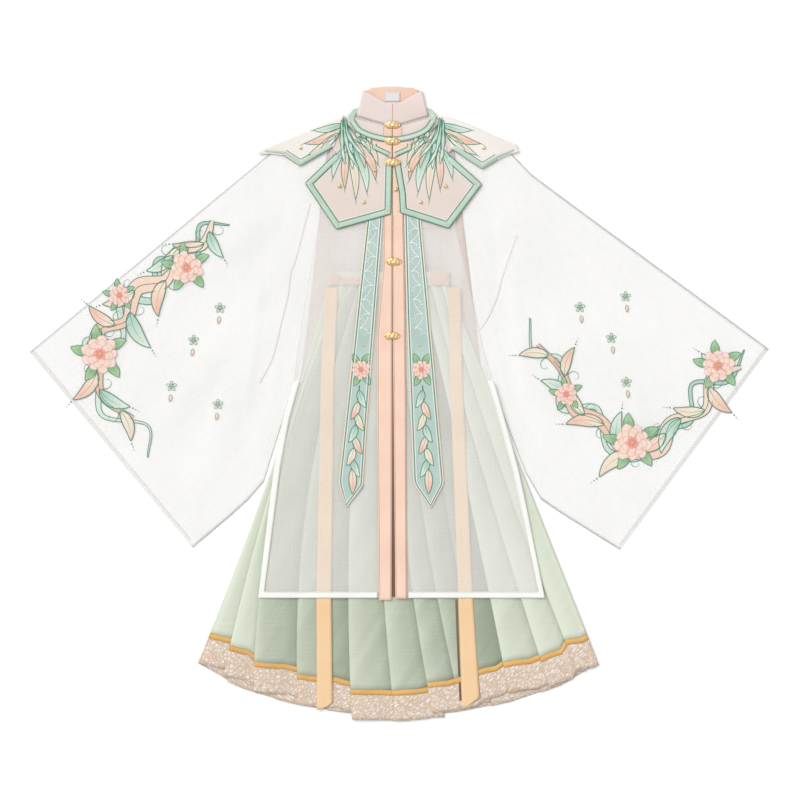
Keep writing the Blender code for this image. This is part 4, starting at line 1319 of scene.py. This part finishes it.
# %% Motifs
def shape(needle, base, tip, width, lean, fill, edge, lift=0, blunt=False, rib=True, line=1.6):
    base, tip = np.array(base, float), np.array(tip, float)
    run = tip - base
    length = np.linalg.norm(run)
    normal = np.array((-run[1], run[0])) / length
    bow = (base + tip) / 2 + normal * lean * length

    def axis(t):
        return (1 - t) ** 2 * base + 2 * t * (1 - t) * bow + t**2 * tip

    def cross(t):
        way = (1 - t) * (bow - base) + t * (tip - bow)
        return np.array((-way[1], way[0])) / np.linalg.norm(way)

    def half(t):
        if blunt:
            return width / 2 * max(0.0, math.sin(math.pi * t**1.5)) ** 0.6 * (1 + 0.07 * math.sin(22 * t))
        return width / 2 * max(0.0, math.sin(math.pi * t**0.8)) ** 0.85

    def place(u, v):
        side = (2 * u - 1) * half(v)
        x, y = axis(v) + cross(v) * side
        return x, y, 0.25 * (1 - (2 * u - 1) ** 2), side, v * length

    needle.patch(4, 9, place, fill, lift)
    shares = np.linspace(0, 1, 15)
    for side in (-1, 1):
        needle.line([axis(t) + cross(t) * side * half(t) for t in shares], line, edge, lift + 1)
    if rib:
        needle.line([axis(t) for t in np.linspace(0.04, 0.8, 9)], line * 0.6, edge, lift + 1, taper=True)


def dot(needle, centre, radius, skein, lift=2):
    """A small round knot of thread."""

    def place(u, v):
        x, y = 2 * u - 1, 2 * v - 1
        fx, fy = x * math.sqrt(1 - y * y / 2), y * math.sqrt(1 - x * x / 2)
        dome = 1 - min(1.0, fx * fx + fy * fy)
        return centre[0] + fx * radius, centre[1] + fy * radius, 0.5 * dome, fx * radius, fy * radius

    needle.patch(4, 4, place, skein, lift)


# petals in the ring, reach and width as shares of the radius, fill
PETAL_RINGS = (
    (9, 1.0, 0.62, PINK_S), (8, 0.78, 0.5, CREAM_S), (6, 0.55, 0.42, PINK_S), (5, 0.34, 0.28, ROSE_S),
)


def blossom(needle, centre, radius, turn, lift=1):
    """A full-blown garden flower: four rings of petals round a gilt centre."""
    centre = np.array(centre, float)
    for number, (count, reach, width, fill) in enumerate(PETAL_RINGS):
        for petal in range(count):
            angle = turn + 2 * math.pi * (petal + 0.5 * number) / count
            way = np.array((math.cos(angle), math.sin(angle)))
            size = radius * reach * (1 + 0.08 * math.sin(3 * angle + turn))
            ends = centre + way * radius * 0.06, centre + way * size
            petal_look = {"blunt": True, "rib": False, "line": 0.8}
            shape(needle, *ends, radius * width, 0.04, fill, ROSE_S, lift + number, **petal_look)
    for seed in range(7):
        angle = turn + seed * 2.4
        spot = centre + np.array((math.cos(angle), math.sin(angle))) * radius * 0.03 * math.sqrt(seed)
        dot(needle, spot, radius * 0.045, GOLD_S, lift + 5)


def stem(needle, points, width, fill, edge, lift=0, ends=0.25):
    """A band of satin stitch that swells and narrows along a curve, outlined on both sides."""
    path = curve(points)
    last = len(path) - 1
    left, right = [], []
    for index in range(last + 1):
        run = path[min(index + 1, last)] - path[max(index - 1, 0)]
        normal = np.array((-run[1], run[0])) / np.linalg.norm(run)
        share = index / last
        swell = ends + (1 - ends) * math.sin(math.pi * share) ** 0.7
        wide = width / 2 * swell * (1 + 0.25 * math.sin(share * 19))
        left.append(path[index] + normal * wide)
        right.append(path[index] - normal * wide)
    reach = np.concatenate([[0], np.cumsum(np.linalg.norm(np.diff(path, axis=0), axis=1))])

    def place(u, v):
        spot = v * last
        row = min(int(spot), last - 1)
        first = between(left[row], left[row + 1], spot - row)
        second = between(right[row], right[row + 1], spot - row)
        x, y = between(first, second, u)
        return x, y, 0.3 * (1 - (2 * u - 1) ** 2), (u - 0.5) * width, v * reach[-1]

    needle.patch(4, last, place, fill, lift)
    needle.line(left, 1.8, edge, lift + 1)
    needle.line(right, 1.8, edge, lift + 1)
    return path


def curl(needle, start, centre, turns, width, skein, lift=1):
    """A tendril that runs into a small spiral."""
    start, centre = np.array(start, float), np.array(centre, float)
    away = start - centre
    radius, first = np.linalg.norm(away), math.atan2(away[1], away[0])
    points = []
    for step in range(29):
        share = step / 28
        angle = first + turns * 2 * math.pi * share
        points.append(centre + np.array((math.cos(angle), math.sin(angle))) * radius * (1 - 0.85 * share))
    needle.line(points, width, skein, lift, taper=True)


print("motifs drawn")

# %% [markdown]
# ## Sleeve embroidery
# Each sleeve carries a wandering branch with curling leaves and full garden flowers near the cuff. Its
# plan is drawn in the cuff's own frame: so far up from the cuff, so far down from the fold. The branch is
# a plain garden pattern with a layout of its own.

# %% Plans of the two branches
# up from the cuff, down from the fold
BRANCH_LEFT = (
    (505, 34), (452, 62), (398, 34), (338, 70), (276, 42),
    (212, 84), (150, 62), (98, 118), (60, 186), (84, 262),
)
BRANCH_RIGHT = (
    (26, 70), (66, 128), (34, 196), (78, 262), (66, 330),
    (128, 378), (204, 356), (272, 368), (340, 318), (424, 300),
)
GARLAND_LEFT = (
    (528, 66), (476, 24), (418, 78), (352, 22), (292, 88), (232, 40),
    (176, 112), (112, 60), (78, 146), (34, 214), (98, 296), (52, 352),
)
GARLAND_RIGHT = (
    (44, 34), (30, 112), (92, 166), (44, 236), (96, 300), (92, 372),
    (160, 396), (232, 336), (298, 384), (362, 296), (420, 322), (474, 262),
)
# share along the branch, length, side, width, lean, fill
LEAVES_LEFT = (
    (0.04, 56, 1, 17, 0.2, MINT_S), (0.10, 60, -1, 19, 0.22, PEACH_S), (0.17, 74, 1, 22, 0.24, CREAM_S),
    (0.25, 58, -1, 18, 0.2, MINT_S), (0.33, 70, 1, 21, 0.25, PEACH_S), (0.46, 66, -1, 20, 0.22, CREAM_S),
    (0.52, 78, 1, 23, 0.24, MINT_S), (0.60, 62, -1, 19, 0.2, PEACH_S), (0.66, 74, 1, 22, 0.25, CREAM_S),
    (0.80, 70, -1, 20, 0.22, PEACH_S), (0.86, 66, 1, 20, 0.24, MINT_S), (0.95, 60, -1, 18, 0.22, CREAM_S),
)
LEAVES_RIGHT = (
    (0.05, 60, -1, 18, 0.2, MINT_S), (0.14, 66, 1, 20, 0.22, PEACH_S), (0.22, 60, -1, 18, 0.2, CREAM_S),
    (0.30, 76, 1, 23, 0.24, MINT_S), (0.38, 64, -1, 20, 0.2, PEACH_S), (0.52, 78, 1, 23, 0.25, CREAM_S),
    (0.58, 66, -1, 20, 0.22, MINT_S), (0.66, 72, 1, 21, 0.24, PEACH_S), (0.73, 60, -1, 18, 0.2, CREAM_S),
    (0.81, 66, 1, 20, 0.22, MINT_S), (0.88, 58, -1, 17, 0.22, PEACH_S), (0.95, 56, 1, 17, 0.2, CREAM_S),
)
# up from the cuff, down from the fold, radius
FLOWERS_LEFT = ((392, 78, 36), (118, 104, 42), (236, 30, 24))
FLOWERS_RIGHT = ((70, 98, 36), (122, 352, 42), (306, 352, 25))
SPRIGS_LEFT = ((300, 214), (196, 262), (392, 196), (250, 360))
SPRIGS_RIGHT = ((300, 190), (214, 250), (398, 176), (330, 96))


# %% Stitch a sleeve
def sprig(needle, centre, hand):
    """A ring of five small petals with a single leaf below it."""
    for petal in range(5):
        turn = 0.3 + petal * 2 * math.pi / 5
        way = np.array((math.cos(turn), math.sin(turn)))
        ends = centre + way * 2, centre + way * 12
        shape(needle, *ends, 7, 0, MINT_S, GREEN_S, 0, blunt=True, rib=False, line=1.1)
    dot(needle, centre, 2.2, GOLD_S, 2)
    ends = centre + (2 * hand, -19), centre + (4 * hand, -36)
    shape(needle, *ends, 8, 0.1, PEACH_S, GREEN_S, 0, rib=False, line=1.1)


def sleeve_needlework(name, node, table, branch, garland, leaves, flowers, sprigs, hand):
    corner, low = table[-1]
    up, down = direction(corner, table[-3][0]), direction(corner, low)

    def at(rise, fall):
        return np.array([corner[k] + up[k] * rise + down[k] * fall for k in (0, 1)])

    needle = Needlework(name, surface(node + "_cloth"), node)
    stem(needle, [at(*point) for point in garland], 13, MINT_S, GREEN_S, 0, 0.15)
    path = stem(needle, [at(*point) for point in branch], 30, PEACH_S, GREEN_S, 2)
    needle.line(path[6:-6], 1.6, GREEN_S, 4)
    for share, long, side, wide, lean, fill in leaves:
        index = min(len(path) - 2, round(share * (len(path) - 1)))
        run = path[index + 1] - path[index]
        run = run / np.linalg.norm(run)
        normal = np.array((-run[1], run[0])) * side
        way = run * 0.72 + normal * 0.7
        tip = path[index] + way / np.linalg.norm(way) * long * 1.2
        shape(needle, path[index], tip, wide * 1.35, -lean * side, fill, GREEN_S, 3, line=2.2)
        root = path[index] - run * 12
        curl(needle, root, root + normal * 20, 0.8 * side, 2.2, GREEN_S, 1)
        for step in (1, 2, 3):
            dot(needle, tip + way * step * 7, 2.2 - 0.4 * step, GREEN_S, 1)
    for rise, fall, radius in flowers:
        centre = at(rise, fall)
        for turn in (0.5, 1.7, 2.9, 4.2, 5.4):
            way = np.array((math.cos(turn), math.sin(turn)))
            ends = centre + way * radius * 0.6, centre + way * radius * 1.62
            shape(needle, *ends, radius * 0.55, 0.12, LEAF_S, GREEN_S, 4)
        blossom(needle, centre, radius, rise, 5)
    for rise, fall in sprigs:
        sprig(needle, at(rise, fall), hand)
    for inset in (6, 9):
        needle.line([at(inset, fall) for fall in (4, 140, 280, 420, 556)], 0.9, SEAM_S, 0)
    return needle


SEAMS = {
    "left": (
        (-185, -176), (-219, -306), (-228, -326), (-235, -382),
        (-249, -439), (-269, -520), (-298, -578),
    ),
    "right": ((280, -245), (249, -335), (235, -387), (215, -432), (197, -459)),
}
PLANS = (
    ("left", SLEEVE_LEFT, BRANCH_LEFT, GARLAND_LEFT, LEAVES_LEFT, FLOWERS_LEFT, SPRIGS_LEFT, -1),
    ("right", SLEEVE_RIGHT, BRANCH_RIGHT, GARLAND_RIGHT, LEAVES_RIGHT, FLOWERS_RIGHT, SPRIGS_RIGHT, 1),
)
for side, *plan in PLANS:
    needle = sleeve_needlework(f"stitching_sleeve_{side}", f"sleeve_{side}", *plan)
    needle.line(curve(SEAMS[side]), 1.6, SEAM_S, 0)
    obj = needle.finish()
    print(obj.name, len(obj.data.polygons), "faces")

# %% [markdown]
# ## Cloud collar embroidery
# A fan of ordinary leaves opens from each side of the neck over the chest lobe and the shoulder lobe.
# Thin stems gather at the neck, three mint bands gather them, and the leaves hang below. The padded edges
# and the neck ring have a fine green cord on each side.

# %% Fans and cords
# root x, root y, tip x, tip y, width, lean, fill
FAN = (
    (-82, -26, -33, -88, 17, 0.26, CREAM_S), (-86, -36, -38, -122, 19, 0.24, PEACH_S),
    (-91, -46, -58, -150, 20, 0.18, MINT_S), (-97, -54, -83, -166, 18, 0.1, CREAM_S),
    (-103, -56, -107, -142, 16, -0.05, PEACH_S), (-108, -50, -134, -118, 15, -0.16, MINT_S),
    (-76, -24, -50, -64, 14, 0.2, MINT_S), (-96, -36, -90, -98, 13, 0.05, WHITE_S),
    (-88, -30, -62, -96, 13, 0.14, PEACH_S),
)
SHOULDER_FAN = (
    (-116, -6, -198, -40, 19, 0.16, PEACH_S), (-120, -16, -190, -66, 17, 0.08, CREAM_S),
    (-112, 4, -178, -10, 16, 0.12, MINT_S), (-126, -22, -164, -58, 13, 0.0, WHITE_S),
)
# bands of mint that gather the stems at the neck
BANDS = (
    ((-108, 18), (-100, -20), (-82, -48), (-60, -72)), ((-110, 14), (-106, -24), (-96, -62), (-78, -92)),
    ((-113, 12), (-114, -24), (-112, -58), (-106, -86)),
)
THROAT = (
    (-84, -14, -70, -34, 9, 0.1, CREAM_S), (-70, -18, -60, -40, 9, 0.1, PEACH_S),
    (-56, -24, -50, -42, 9, 0.1, CREAM_S),
)


def fan(needle, rows, hand):
    for x1, y1, x2, y2, width, lean, fill in rows:
        base, tip = np.array((x1 * hand, y1)), np.array((x2 * hand, y2))
        if rows != THROAT:
            root = (-104 * hand, 6)
            needle.line(curve([root, between(root, base, 0.6), base]), 1.6, GREEN_S, 1)
            needle.line([tip, tip + (tip - base) * 0.12], 1.4, GREEN_S, 1, taper=True)
        shape(needle, base, tip, width, lean * hand, fill, GREEN_S, 1)


def cords(needle, corners, offsets, skeins):
    for offset, skein in zip(offsets, skeins):
        points = []
        for index, corner in enumerate(corners):
            (nx, ny), reach = side_of(corners, index)
            points.append((corner[0] + nx * offset * reach, corner[1] + ny * offset * reach))
        fine = []
        for first, second in zip(points, points[1:]):
            parts = max(2, round(math.dist(first, second) / 5))
            fine += [between(first, second, part / parts) for part in range(parts)]
        needle.line(fine + [points[-1]], 1.7, skein, 1)


for side, hand in (("left", 1), ("right", -1)):
    chest = Needlework(f"stitching_chest_{side}", surface(f"cloud_front_{side}_cloth"), f"cloud_front_{side}")
    fan(chest, FAN, hand)
    fan(chest, THROAT, hand)
    for band in BANDS:
        stem(chest, [(x * hand, y) for x, y in band], 7, MINT_S, GREEN_S, 3, 0.5)
    cords(chest, EDGES[f"piping_front_{side}"], (-6.8, 6.8, 9.6), (GREEN_S, GREEN_S, WHITE_S))
    chest.finish()
    yoke_node = f"cloud_shoulder_{side}"
    yoke = Needlework(f"stitching_shoulder_{side}", surface(yoke_node + "_cloth"), yoke_node)
    fan(yoke, SHOULDER_FAN, hand)
    cords(yoke, EDGES[f"piping_shoulder_{side}"][:3], (-6.4, 6.4), (GREEN_S, GREEN_S))
    yoke.finish()
    tab = Needlework(f"stitching_tab_{side}", surface(f"cloud_tab_{side}_cloth"), f"cloud_tab_{side}")
    cords(tab, EDGES[f"piping_tab_{side}"], (-4.6, 4.6), (GREEN_S, GREEN_S))
    tab.finish()

ring = Needlework("stitching_neck_ring", surface("neck_ring_satin"), "neck_ring")
front_run = [point for point, share in NECK_RING if share == 1]
for half in ([point for point in front_run if point[0] < 0], [point for point in front_run if point[0] > 0]):
    cords(ring, curve(half, 6), (-5.4, 5.4, 0.0), (GREEN_S, GREEN_S, WHITE_S))
ring.finish()
print("cloud collar stitched")

# %% [markdown]
# ## Gilt beads
# Large beads sit in small wire hoops near the tips of the leaves. Small ones mark the corners of the
# padded edges.

# %% Beads
# x, y, radius, height above the lobe
BEADS = (
    (-39, -100, 3.1, 1.8), (-119, -136, 3.1, 1.8), (-64, -172, 3.1, 0.5), (-206, -50, 2.9, 0.5),
    (-185, -130, 1.7, 3.0), (-123, -222, 1.7, 3.0), (-13, -191, 1.7, 3.0),
)


def hoop(work, x, y, z, radius, wire, sides=8, steps=20):
    """A ring of wire: a small circle spun once round an upright axis."""
    centre = lay(x, y, z)
    stand = Matrix.Translation(centre + Vector((radius / 1000, 0, 0))) @ Matrix.Rotation(math.pi / 2, 4, "X")
    made = bmesh.ops.create_circle(work, segments=sides, radius=wire / 1000, matrix=stand)
    edges = {edge for vertex in made["verts"] for edge in vertex.link_edges}
    geom = list(made["verts"]) + list(edges)
    full_turn = {"axis": (0, 0, 1), "angle": 2 * math.pi, "steps": steps, "use_merge": True}
    bmesh.ops.spin(work, geom=geom, cent=centre, **full_turn)


def grain(work, x, y, z, radius, squash=(1.0, 1.0, 1.0)):
    place = Matrix.Translation(lay(x, y, z)) @ Matrix.Diagonal((*squash, 1.0))
    bmesh.ops.create_icosphere(work, subdivisions=2, radius=radius / 1000, matrix=place)


def gilt(name, work, finish=None):
    bmesh.ops.recalc_face_normals(work, faces=work.faces)
    obj = placed(name, work)
    obj.data.materials.append(finish or BRIGHT)
    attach(obj, "root")
    print(name, len(obj.data.polygons), "faces")


LOBES = ("front_left", "front_right", "shoulder_left", "shoulder_right")
lobe_top = surface(*(f"cloud_{lobe}_cloth" for lobe in LOBES))
work = bmesh.new()
for hand in (1, -1):
    for x, y, radius, above in BEADS:
        level = lobe_top(x * hand, y) + above
        grain(work, x * hand, y, level + radius * 0.8, radius)
        if radius > 2:
            hoop(work, x * hand, y, level + 0.6, radius + 0.8, 0.7)
gilt("gilt_beads", work)

# %% [markdown]
# ## Ties
# The ties have a cream edge with a green line inside it. White curls and dots run down the upper part,
# and below them come a garden flower and a trail of leaves to the point, again in a plain layout of its
# own.


# %% Stitch the ties
def tie_edges(needle, table):
    tip = (table[-1][1] + table[-1][2]) / 2, table[-1][0]
    for inset, width, skein in ((1.5, 3.0, CREAM_S), (4.0, 2.0, GREEN_S), (7.2, 2.0, WHITE_S)):
        for edge, sign in ((1, 1), (2, -1)):
            run = [(at_y(table, y, edge) + sign * inset, y) for y in np.linspace(-180, -806, 60)]
            point = (tip[0] + sign * 0.8, tip[1] + inset * 1.3)
            run += [between(run[59], point, part / 8) for part in range(1, 9)]
            needle.line(run, width, skein, 0 if inset < 2 else 1)


def tie_needlework(side, table, hand):
    needle = Needlework(f"stitching_tie_{side}", surface(f"tie_{side}_cloth"), f"tie_{side}")

    def at(across, y):
        return np.array((between((at_y(table, y, 1), y), (at_y(table, y, 2), y), across)))

    tie_edges(needle, table)
    for number, y in enumerate(np.linspace(-212, -468, 9)):
        turn = 1 if number % 2 else -1
        mid = at(0.5, y)
        curl(needle, mid + (10 * turn, 12), mid + (2 * turn, 2), 0.9 * turn, 2.0, WHITE_S)
        bend = [mid + (10 * turn, 12), mid + (-4 * turn, 26), mid + (-9 * turn, 38)]
        needle.line(curve(bend), 1.7, WHITE_S, 1)
        for step in range(3):
            dot(needle, mid + ((-11 + 3 * step) * turn, 2 + 7 * step), 1.7 - 0.3 * step, WHITE_S)
    dot(needle, at(0.5, -494), 3.0, GOLD_S)
    centre = at(0.5, -548)
    for turn in (1.1, 2.0, 4.3, 5.2):
        way = np.array((math.cos(turn), math.sin(turn)))
        shape(needle, centre + way * 12, centre + way * 40, 15, 0.1, LEAF_S, GREEN_S, 0)
    blossom(needle, centre, 21, 0.4, 1)
    needle.line([at(0.5, y) for y in (-584, -640, -690, -740, -790)], 2.4, GREEN_S, 1)
    for number, y in enumerate((-606, -632, -658, -684, -710, -736, -762)):
        turn = (1 if number % 2 else -1) * hand
        fill = (MINT_S, PEACH_S, CREAM_S)[number % 3]
        root = at(0.5, y + 12)
        shape(needle, root, root + (16 * turn, -40), 16, -0.14 * turn, fill, GREEN_S, 1 + number % 2)
    shape(needle, at(0.5, -772), at(0.5, -772) + (1, -56), 17, 0.05, PEACH_S, GREEN_S, 3)
    needle.finish()


tie_needlework("left", TIE_LEFT, -1)
tie_needlework("right", TIE_RIGHT, 1)
print("ties stitched")

# %% [markdown]
# ## Seams of the body and the collar
# Fine rows of stitching hold the plackets, the bindings and the collar. They are the lines that tell the
# eye where one piece of cloth ends and the next begins. The seams of the plackets and the collar carry
# painted shade along them, and a white line under the collar's top edge is a painted highlight. A dark
# line of painted shadow shows where the plackets part below the waist, and another where the skirt is
# open beside its right ribbon.

# %% Seams
FRONTS = (("left", PLACKET_LEFT, FRONT_LEFT, 1), ("right", PLACKET_RIGHT, FRONT_RIGHT, -1))
for side, table, front, sign in FRONTS:
    outer, inner = (1, 2) if side == "left" else (2, 1)
    seam = Needlework(f"stitching_placket_{side}", surface(f"placket_{side}_cloth"), f"placket_{side}")
    rows = np.linspace(-200, table[-1][0] + 3, 90)
    # The placket's edge seams carry painted shade in the seam-shadow thread.
    for edge, inset in ((outer, sign * 2.2), (inner, -sign * 2.2)):
        seam.line([(at_y(table, y, edge) + inset, y) for y in rows], 0.9, SHADE_S, 0)
    seam.finish()
    trim_node = f"edge_binding_{side}"
    trim = Needlework(f"stitching_binding_{side}", surface(trim_node + "_cloth"), trim_node)
    run = [(at_y(front, y, outer) + sign * 12.6, y) for y in np.linspace(-578, front[-1][0] + 13, 60)]
    end = (-36 * sign, run[59][1])
    trim.line(run + [between(run[59], end, part / 30) for part in range(1, 31)], 0.9, SEAM_S, 0)
    trim.finish()
collar = Needlework("stitching_collar", surface("stand_collar_cloth"), "stand_collar")
# The collar's centre-front and base seams carry painted shade in the seam-shadow thread.
collar.line([(0, y) for y in (0, 12, 24, 36, 50)], 1.2, SHADE_S, 0)
for sign in (-1, 1):
    collar.line(curve([(x * sign * 0.985, base + 2.5) for x, base, _ in COLLAR_FRONT]), 1.0, SHADE_S, 0)
    # Painted highlight: a white line just under the top edge of the collar's front.
    collar.line(curve([(x * sign * 0.84, top - 3) for x, _, top in COLLAR_FRONT[:4]]), 1.0, WHITE_S, 0)
collar.finish()
label = Needlework("stitching_label", surface("neck_label_cloth"), "neck_label")
label.line([(-15, 57), (15, 57), (15, 74), (-15, 74), (-15, 57)], 0.8, SEAM_S, 0)
label.finish()
# Painted shadow down the gap where the plackets part.
opening = Needlework("placket_opening_shadow", surface("front_left_cloth", "front_right_cloth"), "placket_left")
opening.line([(0.3, -566), (0.6, -700), (1.2, -860), (2.2, -1058)], 8, OPENING_SHADOW_S, 0)
opening.finish()
# Painted shadow down the skirt's opening beside the right ribbon.
slit = Needlework("skirt_opening_shadow", surface("skirt_cloth_shell", "skirt_border_shell"), "skirt_cloth")
slit.line([(143.5, -1066), (146.5, -1150), (150, -1230), (153, -1292)], 5, OPENING_SHADOW_S, 0)
slit.finish()
print("seams sewn")

# %% [markdown]
# ## Clasps
# Five gilt clasps close the front. Each is a pair of cast plates, kept from the part, with bright wire
# hoops, small grains, and three pearls along its middle.

# %% Clasp wirework
CLASPS = (("collar", 0, 2), ("neck", 0, -35), ("tab", 0.5, -83), ("chest", 3, -306), ("waist", -1, -472.5))
for name, x, y in CLASPS:
    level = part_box(f"clasp_{name}_left")[1][2] * 1000
    work = bmesh.new()
    for side in (-1, 1):
        for away, radius in ((5.5, 3.6), (12.5, 2.9)):
            hoop(work, x + side * away, y, level + 0.1, radius, 0.7, steps=16)
        for away, rise in ((9, 4.6), (9, -4.6), (16.4, 0), (2.6, 5.2), (2.6, -5.2)):
            grain(work, x + side * away, y + rise, level - 0.1, 1.2)
    gilt(f"clasp_wire_{name}", work)
    work = bmesh.new()
    for away, radius in ((0, 2.9), (-9, 1.7), (9, 1.7)):
        grain(work, x + away, y, level + 0.3, radius, (1.0, 1.15, 0.7))
    gilt(f"clasp_pearls_{name}", work, PEARL)
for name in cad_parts:
    if name.startswith("clasp"):
        plate = bpy.data.objects[name]
        plate.data.materials.clear()
        plate.data.materials.append(GOLD)
print("clasps:", len(CLASPS))

# %% [markdown]
# ## Floor, light and camera
# The outfit lies on a pale floor and is seen from straight above. A wide soft sun from the upper left and
# an even sky leave only faint shading, as in a shop picture.


# %% Studio
def studio():
    work = bmesh.new()
    bmesh.ops.create_grid(work, x_segments=2, y_segments=2, size=6)
    mesh = bpy.data.meshes.new("floor")
    work.to_mesh(mesh)
    work.free()
    floor = bpy.data.objects.new("floor", mesh)
    bpy.context.scene.collection.objects.link(floor)
    paper = Finish("pale paper floor", roughness=0.95)
    grain = paper.noise(paper.coordinates("Object"), 3.0)
    paper.feed(Base_Color=paper.mix(grain, (0.95, 0.95, 0.95), (0.96, 0.96, 0.96)))
    mesh.materials.append(paper.material)
    lamp = bpy.data.lights.new("soft sun", "SUN")
    lamp.energy, lamp.angle = 1.75, math.radians(40)
    light = bpy.data.objects.new("soft sun", lamp)
    light.rotation_euler = Vector((-1.2, 1.0, 2.0)).to_track_quat("Z", "Y").to_euler()
    bpy.context.scene.collection.objects.link(light)
    world = bpy.data.worlds.new("sky")
    bpy.context.scene.world = world
    world.use_nodes = True
    world.node_tree.nodes["Background"].inputs["Color"].default_value = (1, 1, 1, 1)
    world.node_tree.nodes["Background"].inputs["Strength"].default_value = 0.68
    lens = bpy.data.cameras.new("camera")
    lens.sensor_width, lens.lens = 36, 160
    camera = bpy.data.objects.new("camera", lens)
    camera.location = lay(16.9, -616.5, 8000)
    bpy.context.scene.collection.objects.link(camera)
    bpy.context.scene.camera = camera
    bpy.context.scene.view_settings.view_transform = "Standard"
    bpy.context.scene.cycles.transparent_max_bounces = 32


studio()
print("camera above", [round(v, 3) for v in bpy.context.scene.camera.location])
